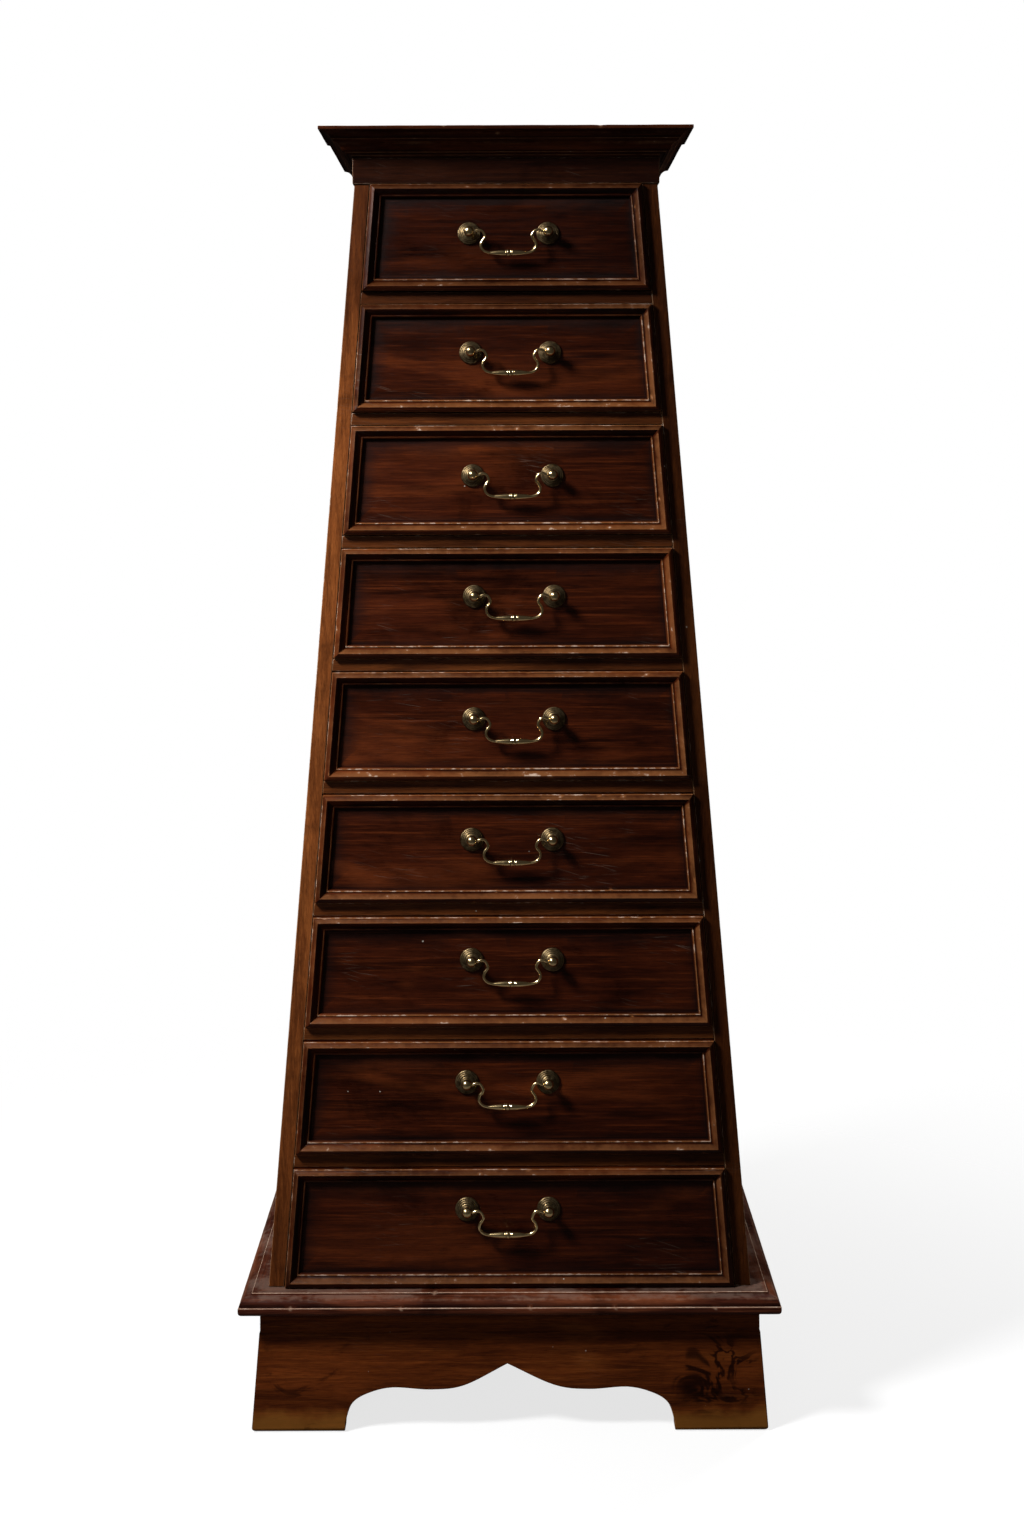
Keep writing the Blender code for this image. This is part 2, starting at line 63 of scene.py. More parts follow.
# shader maths: a wire wraps a socket, and sums on wires add Math nodes
class Wire:
    def __init__(self, tree, socket=None):
        self.tree = tree
        self.socket = socket

    def add(self, kind, settings, inputs, out=0):
        node = self.tree.nodes.new("ShaderNode" + kind)
        for key, value in settings.items():
            setattr(node, key, value)
        for key, value in inputs.items():
            if isinstance(value, Wire):
                self.tree.links.new(value.socket, node.inputs[key])
            else:
                node.inputs[key].default_value = value
        return Wire(self.tree, node.outputs[out])

    def maths(self, operation, first, second):
        return self.add("Math", {"operation": operation}, {0: first, 1: second})

    def __add__(self, other):
        return self.maths("ADD", self, other)

    def __radd__(self, other):
        return self.maths("ADD", other, self)

    def __sub__(self, other):
        return self.maths("SUBTRACT", self, other)

    def __rsub__(self, other):
        return self.maths("SUBTRACT", other, self)

    def __mul__(self, other):
        return self.maths("MULTIPLY", self, other)

    def __rmul__(self, other):
        return self.maths("MULTIPLY", other, self)

    def part(self, axis):
        return self.add("SeparateXYZ", {}, {0: self}, axis)

    def step(self, low, high):
        return self.add("MapRange", {"interpolation_type": "SMOOTHSTEP"},
                        {"Value": self, "From Min": low, "From Max": high})

    def stretch(self, sizes):
        return self.add("VectorMath", {"operation": "MULTIPLY"}, {0: self, 1: sizes})

    def turned(self, degrees):  # about y, so lines on the front slope
        return self.add("Mapping", {"vector_type": "POINT"},
                        {"Vector": self, "Rotation": (0, math.radians(degrees), 0)})

    def noise(self, detail=3.0, rough=0.55, twist=0.0):
        return self.add("TexNoise", {}, {"Vector": self, "Scale": 1.0, "Detail": detail,
                                         "Roughness": rough, "Distortion": twist}, "Fac")

    def length(self):
        return self.add("VectorMath", {"operation": "LENGTH"}, {0: self}, 1)

    def bump(self, strength, distance):  # this wire is the height
        return self.add("Bump", {}, {"Strength": strength, "Distance": distance, "Height": self}, "Normal")

    def over(self, under, colour):  # this wire is the mask
        return self.add("Mix", {"data_type": "RGBA"}, {0: self, 6: under, 7: colour}, 2)

    def shade(self, colour, tone):  # colour darkened towards tone by this mask
        return self.add("Mix", {"data_type": "RGBA", "blend_type": "MULTIPLY"},
                        {0: self, 6: colour, 7: tone}, 2)


def startMaterial(name):
    material = bpy.data.materials.new(name)
    material.use_nodes = True
    shader = material.node_tree.nodes["Principled BSDF"]
    return material, shader, Wire(material.node_tree)


def plug(shader, **wires):
    for key, wire in wires.items():
        wire.tree.links.new(wire.socket, shader.inputs[key.replace("_", " ")])


def rgb(*values):
    return (*values, 1.0)


# wood: colours run from the dark figure to the pale fibre, and worn is the rubbed arris;
# painted shade darkens the wood towards the right, under the cornice and near the floor
woods = {
    "panelWood": {
        "dark": rgb(0.0145, 0.0026, 0.0008), "mid": rgb(0.061, 0.0106, 0.0026),
        "pale": rgb(0.170, 0.036, 0.0072), "worn": rgb(0.215, 0.080, 0.0255), "figure": 0.50, "streaks": 0.55,
        "amber": 0.62, "grime": 0.80, "rough": 0.27, "shine": 0.11, "scratches": 0.9, "specks": 0.7,
        "fade": 0.50, "soot": 0.80, "mire": 0.45, "polish": 0.30},
    # the left and right stiles are lit and shaded copies of one wood, the right's darker colours being
    # painted shade
    "litStileWood": {
        "dark": rgb(0.095, 0.0250, 0.0054), "mid": rgb(0.262, 0.0755, 0.0163),
        "pale": rgb(0.380, 0.1250, 0.0290), "worn": rgb(0.36, 0.190, 0.090), "figure": 0.50, "streaks": 0.45,
        "amber": 0.35, "grime": 0.60, "rough": 0.34, "shine": 0.07, "scratches": 0.4, "specks": 0.5,
        "fade": 0.0, "soot": 0.95, "mire": 0.74, "polish": 0.20},
    "shadedStileWood": {
        "dark": rgb(0.020, 0.0048, 0.0010), "mid": rgb(0.049, 0.0125, 0.0024),
        "pale": rgb(0.094, 0.0275, 0.0058), "worn": rgb(0.20, 0.105, 0.050), "figure": 0.50, "streaks": 0.45,
        "amber": 0.35, "grime": 0.60, "rough": 0.36, "shine": 0.05, "scratches": 0.4, "specks": 0.5,
        "fade": 0.0, "soot": 0.30, "mire": 0.0, "polish": 0.15},
    "sideWood": {
        "dark": rgb(0.030, 0.0068, 0.0018), "mid": rgb(0.092, 0.0215, 0.0054),
        "pale": rgb(0.188, 0.0520, 0.0122), "worn": rgb(0.26, 0.125, 0.055), "figure": 0.50, "streaks": 0.50,
        "amber": 0.50, "grime": 0.75, "rough": 0.30, "shine": 0.10, "scratches": 0.8, "specks": 0.4,
        "fade": 0.0, "soot": 0.60, "mire": 0.45, "polish": 0.25},
    "railWood": {
        "dark": rgb(0.048, 0.0120, 0.0029), "mid": rgb(0.130, 0.0355, 0.0073),
        "pale": rgb(0.225, 0.0670, 0.0142), "worn": rgb(0.27, 0.135, 0.062), "figure": 0.50, "streaks": 0.45,
        "amber": 0.30, "grime": 0.70, "rough": 0.36, "shine": 0.07, "scratches": 0.4, "specks": 1.0,
        "fade": 0.50, "soot": 0.95, "mire": 0.45, "polish": 0.15},
    # the frieze's darker colours are painted shade under the cornice
    "shadedFriezeWood": {
        "dark": rgb(0.0090, 0.0021, 0.0009), "mid": rgb(0.026, 0.0062, 0.0023),
        "pale": rgb(0.062, 0.0170, 0.0058), "worn": rgb(0.20, 0.105, 0.055), "figure": 0.55, "streaks": 0.45,
        "amber": 0.40, "grime": 0.70, "rough": 0.30, "shine": 0.08, "scratches": 0.5, "specks": 0.4,
        "fade": 0.35, "soot": 0.35, "mire": 0.0, "polish": 0.20},
    "crownWood": {
        "dark": rgb(0.0270, 0.0058, 0.0022), "mid": rgb(0.080, 0.0192, 0.0064),
        "pale": rgb(0.175, 0.0480, 0.0145), "worn": rgb(0.30, 0.155, 0.078), "figure": 0.55, "streaks": 0.40,
        "amber": 0.30, "dust": 0.25, "grime": 0.70, "rough": 0.32, "shine": 0.03, "scratches": 0.5,
        "specks": 0.4, "fade": 0.40, "soot": 0.35, "mire": 0.0, "polish": 0.25},
    "baseWood": {
        "dark": rgb(0.0220, 0.0047, 0.0024), "mid": rgb(0.080, 0.0185, 0.0090),
        "pale": rgb(0.215, 0.0600, 0.0230), "worn": rgb(0.40, 0.255, 0.175), "figure": 0.45, "streaks": 0.60,
        "amber": 0.75, "dust": 0.34, "grime": 0.75, "rough": 0.28, "shine": 0.08, "scratches": 0.9,
        "specks": 0.9, "fade": 0.25, "soot": 0.0, "mire": 0.0, "polish": 0.35},
    "plinthWood": {
        "dark": rgb(0.052, 0.0104, 0.0021), "mid": rgb(0.145, 0.0325, 0.0056),
        "pale": rgb(0.235, 0.0690, 0.0122), "worn": rgb(0.25, 0.130, 0.048), "figure": 0.50, "streaks": 0.45,
        "amber": 0.50, "grime": 0.65, "rough": 0.38, "shine": 0.05, "scratches": 0.3, "specks": 0.5,
        "fade": 0.36, "soot": 0.0, "mire": 0.0, "polish": 0.12},
    "bareWood": {
        "dark": rgb(0.098, 0.042, 0.017), "mid": rgb(0.210, 0.100, 0.042),
        "pale": rgb(0.310, 0.168, 0.080), "worn": rgb(0.35, 0.215, 0.120), "figure": 0.45, "streaks": 0.55,
        "amber": 0.30, "grime": 0.45, "rough": 0.70, "shine": 0.10, "scratches": 0.3, "specks": 0.2,
        "fade": 0.0, "soot": 0.0, "mire": 0.0, "polish": 0.0},
    "backWood": {
        "dark": rgb(0.048, 0.018, 0.0070), "mid": rgb(0.112, 0.044, 0.0160),
        "pale": rgb(0.185, 0.086, 0.035), "worn": rgb(0.26, 0.150, 0.080), "figure": 0.50, "streaks": 0.55,
        "amber": 0.30, "grime": 0.55, "rough": 0.66, "shine": 0.10, "scratches": 0.4, "specks": 0.3,
        "fade": 0.0, "soot": 0.30, "mire": 0.30, "polish": 0.0},
}

# marks that every wood shares: tones darken, colours cover, and spans are metres across or up the piece
woodMarks = {
    "fibreTone": rgb(0.66, 0.62, 0.60), "poreTone": rgb(0.32, 0.30, 0.30), "smokeTone": rgb(0.36, 0.36, 0.40),
    # some tones below darken for painted shade: towards the right, under the cornice, near the floor and on
    # the shaded sides of the drawer mouldings
    "rightShadeTone": rgb(0.30, 0.27, 0.25), "dirtAndShadeTone": rgb(0.20, 0.17, 0.17), "paintedShadeTone": rgb(0.34, 0.30, 0.29),
    "scratch": rgb(0.150, 0.118, 0.092), "bare": rgb(0.56, 0.43, 0.34), "dust": rgb(0.21, 0.145, 0.112),
    "speck": rgb(0.52, 0.48, 0.42), "scratchTurns": (-9, -18, 3),
    "rightShadeSpan": (-0.26, 0.28), "corniceShadeSpan": (1.12, 1.26), "floorShadeSpan": (0.50, 0.18),
    "relief": 0.22, "reliefDeep": 0.6 * mm, "coatRough": 0.26,
}


def waxedWood(name):
    look = woods[name]
    marks = woodMarks
    material, shader, start = startMaterial(name)
    grain = start.add("Attribute", {"attribute_name": "grain"}, {}, "Vector")  # x runs along the board
    wear = start.add("Attribute", {"attribute_name": "wear"}, {}, "Fac")  # 1 on arrises, -1 in quirks
    place = start.add("TexCoord", {}, {}, "Object")

    figure = grain.stretch((5, 42, 42)).noise(4, 0.58, 1.2)
    ripple = grain.stretch((8, 190, 190)).noise(4, 0.62, 0.8)
    streak = grain.stretch((8, 560, 560)).noise(3, 0.6, 0.4)
    fibre = grain.stretch((60, 1500, 1500)).noise(2, 0.6)
    pores = grain.stretch((90, 2300, 2300)).noise(1, 0.5).step(0.60, 0.70)
    glow = grain.stretch((3.4, 17, 17)).noise(3, 0.55, 0.6)
    cloud = place.stretch((8, 8, 13)).noise(4, 0.62, 0.7)
    chips = place.stretch((130, 130, 130)).noise(4, 0.65)
    drift = place.stretch((24, 24, 24)).noise(3, 0.6)

    bands = figure.step(0.34, 0.66) * look["figure"] + ripple.step(0.32, 0.70) * (1 - look["figure"])
    body = bands.over(look["dark"], look["mid"])
    body = (streak.step(0.46, 0.74) * ripple.step(0.38, 0.64) * look["streaks"]).over(body, look["pale"])
    body = (glow.step(0.52, 0.72) * look["amber"]).over(body, look["pale"])
    body = fibre.step(0.62, 0.30).shade(body, marks["fibreTone"])
    body = (pores * 0.5).shade(body, marks["poreTone"])
    smoke = cloud.step(0.50, 0.28) * look["grime"]
    body = smoke.shade(body, marks["smokeTone"])
    # painted shade: darker towards the right, where the light falls off
    body = (place.part(0).step(*marks["rightShadeSpan"]) * look["fade"]).shade(body, marks["rightShadeTone"])

    # short pale scratches in three directions, gathered in patches
    cuts = [place.turned(angle).stretch((24, 30, 1300)).noise(1, 0.4).step(0.71, 0.76)
            for angle in marks["scratchTurns"]]
    patches = place.stretch((10, 10, 12)).noise(3, 0.5).step(0.53, 0.66)
    scratch = (cuts[0] + cuts[1] + cuts[2]) * patches * look["scratches"]
    body = (scratch * 0.34).over(body, marks["scratch"])

    if name == "plinthWood":
        body = spiltDye(place, drift, body)

    # dirt settles in the quirks, and the same mask carries painted shade on the drawer fronts; arrises are
    # rubbed pale in broken lengths, and the palest of them carry painted glints
    dirt = (wear * -1.0 + (drift - 0.5) * 0.7).step(0.05, 0.95) * look["grime"]
    body = dirt.shade(body, marks["dirtAndShadeTone"])
    rub = (wear + (drift - 0.5) * 0.7 + (chips - 0.5) * 0.5).step(0.25, 1.0)
    body = (rub * 0.75).over(body, look["worn"])
    # the palest marks are bare wood and painted glints on beads and arrises
    bare = (wear + (drift - 0.5) * 1.3 + (chips - 0.5) * 2.6).step(1.02, 1.42)
    body = (bare * 0.7).over(body, marks["bare"])

    # painted shade: darker under the cornice and towards the floor
    soot = place.part(2).step(*marks["corniceShadeSpan"]) * look["soot"]
    mire = place.part(2).step(*marks["floorShadeSpan"]) * look["mire"]
    body = (soot + mire).shade(body, marks["paintedShadeTone"])

    if "dust" in look:  # lies in patches on what faces up
        level = start.add("NewGeometry", {}, {}, "Normal").part(2).step(0.80, 1.0)
        lying = level * (cloud + (chips - 0.5) * 0.6).step(0.40, 0.62)
        body = (lying * look["dust"]).over(body, marks["dust"])

    spots = place.stretch((85, 85, 85))
    dots, tint = [spots.add("TexVoronoi", {"feature": "F1"}, {"Vector": spots, "Scale": 1.0}, out)
                  for out in ("Distance", "Color")]
    pick = tint.add("SeparateColor", {}, {0: tint}, 0)
    fleck = dots.step(0.085, 0.05) * pick.step(0.955, 0.97) * look["specks"]
    body = fleck.over(body, marks["speck"])

    rough = look["rough"] + (cloud - 0.5) * 0.22 + fibre * 0.06 + dirt * 0.25 + scratch * 0.15
    relief = fibre * 0.35 + streak * 0.4 + ripple * 0.3 - pores * 0.6 - scratch * 0.7
    relief = relief + (chips - 0.5) * rub * 1.5
    normal = relief.bump(marks["relief"], marks["reliefDeep"])
    plug(shader, Base_Color=body, Roughness=rough, Normal=normal, Coat_Weight=rub * look["polish"])
    shader.inputs["Coat Roughness"].default_value = marks["coatRough"]
    shader.inputs["Specular IOR Level"].default_value = look["shine"]
    return material


# the plinth's marks: mopped ochre feet under a dark tide line, and dye that crept along cracks by one foot
dyeMarks = {
    "heart": (0.222, -0.2, 0.060), "reach": (0.066, 0.032), "tide": (0.022, 0.030, 0.050),
    "ochre": rgb(0.190, 0.076, 0.0125), "tideTone": rgb(0.34, 0.30, 0.28), "veinTone": rgb(0.12, 0.10, 0.11),
    "poolTone": rgb(0.28, 0.24, 0.24),
}


def spiltDye(place, drift, body):
    height = place.part(2) + (drift - 0.5) * 0.034
    low, middle, high = dyeMarks["tide"]
    body = (height.step(low + 0.006, low - 0.012) * 0.62).over(body, dyeMarks["ochre"])
    tide = height.step(low, middle) * height.step(high, middle)
    body = (tide * 0.55).shade(body, dyeMarks["tideTone"])
    offset = place.add("VectorMath", {"operation": "SUBTRACT"}, {0: place, 1: dyeMarks["heart"]})
    gap = offset.stretch((1, 0, 1.2)).length()
    near = (gap + (drift - 0.5) * 0.03).step(*dyeMarks["reach"])
    ridge = place.stretch((15, 1, 21)).noise(3, 0.6, 1.6) - 0.5
    vein = ridge.maths("ABSOLUTE", ridge, 0.0).step(0.075, 0.020)
    body = (vein * near * drift.step(0.36, 0.52) * 0.95).shade(body, dyeMarks["veinTone"])
    pool = place.stretch((16, 16, 26)).noise(4, 0.65, 1.2).step(0.60, 0.72)
    return (pool * 0.75).shade(body, dyeMarks["poolTone"])


brassLook = {
    "deep": rgb(0.056, 0.036, 0.016), "body": rgb(0.148, 0.104, 0.053), "bright": rgb(0.82, 0.61, 0.31),
    "grime": rgb(0.014, 0.0090, 0.0045), "rough": 0.42, "relief": 0.16, "reliefDeep": 0.4 * mm,
}


def agedBrass():
    material, shader, start = startMaterial("agedBrass")
    place = start.add("TexCoord", {}, {}, "Object")
    wear = start.add("Attribute", {"attribute_name": "wear"}, {}, "Fac")
    cloud = place.stretch((160, 160, 160)).noise(4, 0.62, 0.4)
    speckle = place.stretch((900, 900, 900)).noise(3, 0.6)
    lines = place.turned(35).stretch((260, 260, 2600)).noise(2, 0.5)
    body = cloud.step(0.30, 0.66).over(brassLook["deep"], brassLook["body"])
    rub = (wear + (cloud - 0.5) * 0.9 + (speckle - 0.5) * 0.5).step(0.25, 1.0)
    body = rub.over(body, brassLook["bright"])
    dirt = (wear * -1.0 + (speckle - 0.5) * 0.6).step(0.05, 0.9)
    body = dirt.over(body, brassLook["grime"])
    rough = brassLook["rough"] + (cloud - 0.5) * 0.2 + dirt * 0.25 - rub * 0.22 + (speckle - 0.5) * 0.12
    metal = 1.0 - dirt * 0.55
    relief = speckle * 0.5 + lines * 0.3 + cloud * 0.4
    normal = relief.bump(brassLook["relief"], brassLook["reliefDeep"])
    plug(shader, Base_Color=body, Roughness=rough, Metallic=metal, Normal=normal)
    return material


materials = {name: waxedWood(name) for name in woods}
materials["agedBrass"] = agedBrass()
print("finishes made:", ", ".join(materials))


# a smooth line through each stroke's points; strokes meet at sharp corners
def smoothStrokes(strokes, cuts):
    line = [Vector(strokes[0][0])]
    for stroke in strokes:
        points = [Vector(p) for p in stroke]
        points = [2 * points[0] - points[1], *points, 2 * points[-1] - points[-2]]
        steps = cuts if len(stroke) > 2 else 1
        for a, b, c, d in zip(points, points[1:], points[2:], points[3:]):
            for i in range(1, steps + 1):
                t = i / steps
                bend = (2 * a - 5 * b + 4 * c - d) * t * t
                twist = (3 * b - a - 3 * c + d) * t ** 3
                line.append((2 * b + (c - a) * t + bend + twist) / 2)
    return line


def insetProfile(bm, face, line, wear):
    for before, after in zip(line, line[1:]):
        bmesh.ops.inset_region(bm, faces=[face], thickness=(after[0] - before[0]) * mm,
                               depth=(after[1] - before[1]) * mm, use_even_offset=True)
        for vert in face.verts:
            vert[wear] = after[2]


# grain: its x runs along each board, and boards are numbered and meet at sharp edges
def layGrain(bm, pick, seed):
    layer = bm.loops.layers.float_vector.new("grain")
    board = bm.faces.layers.int.new("board")
    draw = random.Random(seed)
    shifts = {}
    for face in bm.faces:
        axis, key = pick(face)
        if key not in shifts:
            shifts[key] = (len(shifts), Vector([draw.uniform(0, 6) for i in range(3)]))
        face[board], shift = shifts[key]
        for loop in face.loops:
            co = loop.vert.co
            loop[layer] = Vector((co[axis], co[(axis + 1) % 3], co[(axis + 2) % 3])) + shift
    for edge in bm.edges:
        if len({face[board] for face in edge.link_faces}) > 1:
            edge.smooth = False


# flats broader than this, in square metres, stay flat up to their arrises;
# facing tells a board's front edge from the rest of it
shading = {"flat": 0.0004, "facing": -0.4}


def addPiece(bm, name, body, finish, node=None, sharp=38, broad=None):
    limit = math.radians(sharp)
    for face in bm.faces:
        face.smooth = face.calc_area() < shading["flat"]
        face.material_index = 1 if broad and face.normal.y > shading["facing"] else 0
    for edge in bm.edges:
        if edge.is_manifold and edge.calc_face_angle(0) > limit:
            edge.smooth = False
    mesh = bpy.data.meshes.new(name)
    bm.to_mesh(mesh)
    bm.free()
    for look in [finish, broad] if broad else [finish]:
        mesh.materials.append(materials[look])
    piece = bpy.data.objects.new(name, mesh)
    scene.collection.objects.link(piece)
    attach(piece, body)
    if node:
        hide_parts(node)


def rubEdges(bm, edges, width, segments=3):
    wear = bm.verts.layers.float.get("wear") or bm.verts.layers.float.new("wear")
    made = bmesh.ops.bevel(bm, geom=edges, offset=width, offset_type="OFFSET", segments=segments, profile=0.5,
                           affect="EDGES", material=-1, clamp_overlap=True)
    fresh = set(made["faces"])
    for vert in made["verts"]:
        if all(face in fresh for face in vert.link_faces):
            vert[wear] = 1.0


def crispEdges(bm, least=30):
    limit = math.radians(least)
    return [e for e in bm.edges if e.is_manifold and e.is_convex and e.calc_face_angle(0) > limit]


# boards whose frame shape is right: copied, welded, and their arrises rounded
def easedCopy(node, width, weld=0.02 * mm, flat=1):
    bm = bmesh.new()
    bm.from_mesh(frame["nodes"][node].data)
    bmesh.ops.remove_doubles(bm, verts=bm.verts, dist=weld)
    bmesh.ops.dissolve_limit(bm, angle_limit=math.radians(flat), verts=bm.verts, edges=bm.edges)
    rubEdges(bm, crispEdges(bm), width)
    return bm


def alongX(face):
    return 0, "board"


def alongZ(face):
    return 2, "board"


caseBoards = {
    # the left stile takes the lit copy of the stile wood and the right stile its painted-shade copy
    "side_left": {"finish": "litStileWood", "broad": "sideWood", "grain": alongZ, "arris": 0.9 * mm},
    "side_right": {"finish": "shadedStileWood", "broad": "sideWood", "grain": alongZ, "arris": 0.9 * mm},
    "back_panel": {"finish": "backWood", "grain": alongZ, "arris": 0.8 * mm},
    "frieze": {"finish": "shadedFriezeWood", "grain": alongX, "arris": 0.8 * mm},
}
for index in range(1, drawerCount):
    caseBoards["divider_{}".format(index)] = {"finish": "railWood", "grain": alongX, "arris": 0.6 * mm}

firstSeed = 100
for index, (node, board) in enumerate(caseBoards.items()):
    bm = easedCopy(node, board["arris"])
    layGrain(bm, board["grain"], firstSeed + index)
    words = node.split("_")
    name = words[0] + "".join(w.capitalize() for w in words[1:]) + "Board"
    addPiece(bm, name, "case", board["finish"], node, broad=board.get("broad"))
print("case boards eased:", len(caseBoards))


# runs of moulding are split into short lengths, which then wander and take knocks
def splitRails(bm, spacing, spare, straight=0.95, least=4):
    bmesh.ops.delete(bm, geom=spare, context="FACES_ONLY")
    for axis in range(3):
        rails = []
        for edge in bm.edges:
            run = edge.verts[1].co - edge.verts[0].co
            if abs(run[axis]) > straight * run.length and run.length > least * spacing:
                rails.append(edge)
        if rails:
            longest = max(edge.calc_length() for edge in rails)
            bmesh.ops.subdivide_edges(bm, edges=rails, cuts=int(longest / spacing), use_grid_fill=True)
    rims = [edge for edge in bm.edges if edge.is_boundary]
    bmesh.ops.holes_fill(bm, edges=rims, sides=0)


# what has wear wanders, and knocks land on what stands proud
ageing = {
    "waves": 55, "moves": 0.1, "proud": 0.3,
    "size": (0.5, 1.0), "deep": (0.25, 0.6), "steep": 0.3, "rub": 0.9,
}


def ageRails(bm, seed, knocks, wander, reach):
    wear = bm.verts.layers.float["wear"]
    draw = random.Random(seed)
    proud = [vert for vert in bm.verts if vert[wear] > ageing["proud"]]
    moves = {}
    for vert in bm.verts:
        shift = noise.noise(vert.co * ageing["waves"] + Vector((seed, 0, 0))) * wander
        moves[vert] = vert.normal * shift if abs(vert[wear]) > ageing["moves"] else Vector()
    for i in range(knocks):
        heart = draw.choice(proud).co.copy()
        size = draw.uniform(*ageing["size"]) * reach
        deep = draw.uniform(*ageing["deep"]) * size * ageing["steep"]
        for vert in bm.verts:
            gap = (vert.co - heart).length
            if gap < size:
                fall = (1 - (gap / size) ** 2) ** 2
                moves[vert] = moves[vert] - vert.normal * deep * fall
                vert[wear] = max(vert[wear], ageing["rub"] * fall)
    for vert, move in moves.items():
        vert.co += move


# drawer fronts: (inward, outward, wear) in mm from the outer edge of the moulding to the panel
drawerFront = {
    "thickness": 18 * mm,
    "edge": 5.0,
    "strokes": [
        [(0.0, 5.0, 0.6), (0.35, 5.9, 1.0), (1.1, 7.0, 0.40), (2.8, 8.3, 0.34), (4.6, 9.25, 0.40),
         (5.6, 9.6, 0.58), (6.6, 9.05, 0.5), (8.0, 7.6, 0.46), (9.4, 6.0, 0.42), (10.6, 4.6, 0.22),
         (11.6, 3.5, -0.5)],
        # the bead's high wear, raised further on the foot and right rails, is partly a painted glint line
        [(11.6, 3.5, -0.5), (11.95, 4.05, 0.3), (12.8, 4.3, 0.95), (13.7, 3.95, 0.5), (14.4, 3.0, -0.2)],
        [(14.4, 3.0, -0.2), (15.0, 0.0, -1.0)],
        [(15.0, 0.0, -1.0), (17.0, 0.0, -0.55)],
        [(17.0, 0.0, -0.55), (24.0, 0.0, -0.15)],
        [(24.0, 0.0, -0.15), (40.0, 0.0, 0.0)],
    ],
    "zones": (2.0, 5.5, 11.7), "panel": 15.1 * mm,
    # wear by zone, where less than none darkens; the foot and right rails' larger numbers are partly painted
    # light, and the negative inner slopes of the left and head rails are painted shade
    "rubbed": {"foot": (0.85, 0.6, 1.4, 1.25), "right": (0.8, 0.7, 1.3, 1.15),
               "left": (1.1, 1.2, -1.7, 0.6), "head": (1.1, 1.6, -0.75, 0.45)},
    "mostRub": 1.25, "shadow": {24.0: -0.6, 17.0: -0.9}, "shadowHalf": 0.5 * mm,
    "cuts": 3, "spacing": 4 * mm, "knocks": 9, "wander": 0.12 * mm, "reach": 5 * mm, "sharp": 44,
}


def buildDrawerFront(number):
    name = "drawer_{}".format(number)
    low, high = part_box(name + "_front")
    middleZ = (low.z + high.z) / 2
    front = drawerFront
    bm = bmesh.new()
    wear = bm.verts.layers.float.new("wear")
    edge = front["edge"] * mm
    depth = front["thickness"] + edge
    size = Matrix.Diagonal((2 * high.x, depth, high.z - low.z, 1))
    middle = Matrix.Translation((0, depth / 2 - edge, middleZ))
    bmesh.ops.create_cube(bm, size=1.0, matrix=middle @ size)
    for vert in bm.verts:  # the front narrows with the case
        if vert.co.z > middleZ:
            vert.co.x *= 1 - taper * (high.z - low.z) / high.x
    panel = min(bm.faces, key=lambda f: f.calc_center_median().y)
    insetProfile(bm, panel, smoothStrokes(front["strokes"], front["cuts"]), wear)
    back = max(bm.faces, key=lambda f: f.calc_center_median().y)
    splitRails(bm, front["spacing"], [panel, back])
    bmesh.ops.recalc_face_normals(bm, faces=bm.faces)
    bm.normal_update()

    def fromEdges(spot):  # how far in from the nearest side, and from the nearest of foot and head
        side = high.x - taper * (spot.z - low.z) - abs(spot.x)
        return side, min(spot.z - low.z, high.z - spot.z)

    def member(face):
        spot = face.calc_center_median()
        side, level = fromEdges(spot)
        if min(side, level) > front["panel"]:
            return 0, "panel"
        if side < level:
            return 2, "left" if spot.x < 0 else "right"
        return 0, "foot" if spot.z < middleZ else "head"

    ageRails(bm, number, front["knocks"], front["wander"], front["reach"])
    layGrain(bm, member, number)
    # the foot and right rails are rubbed most, partly real wear and partly painted light on the sides the
    # light falls on; the left and head inner slopes take painted shade, and a painted shadow darkens two
    # sides of the panel
    for vert in bm.verts:
        side, level = fromEdges(vert.co)
        key = member(vert.link_faces[0])[1]
        if vert[wear] > 0 and key != "panel":
            zone = sum(min(side, level) > reach * mm for reach in front["zones"])  # arris, outer, inner, bead
            vert[wear] = min(vert[wear] * front["rubbed"][key][zone], front["mostRub"])
        # painted shadow of the moulding on the panel's left and head sides
        elif (side < level and vert.co.x < 0) or (level < side and vert.co.z > middleZ):
            for inward, tone in front["shadow"].items():
                if abs(min(side, level) - inward * mm) < front["shadowHalf"]:
                    vert[wear] = tone
    slant = Matrix.Identity(4)
    slant[1][2] = taper
    slant[1][3] = high.y - front["thickness"] - taper * high.z
    bmesh.ops.transform(bm, matrix=slant, verts=bm.verts)
    addPiece(bm, "drawerFront{}".format(number), name, "panelWood", name + "_front",
             front["sharp"])


drawerBox = {"arris": 0.8 * mm, "seed": 40}


def boxGrain(face):
    wide = max(range(3), key=lambda i: abs(face.normal[i]))
    return (1, "side") if wide == 0 else (0, "back" if wide == 1 else "bottom")


def buildDrawerBox(number):
    name = "drawer_{}".format(number)
    bm = easedCopy(name + "_box", drawerBox["arris"])
    bm.normal_update()
    layGrain(bm, boxGrain, drawerBox["seed"] + number)
    addPiece(bm, "drawerBox{}".format(number), name, "bareWood", name + "_box")


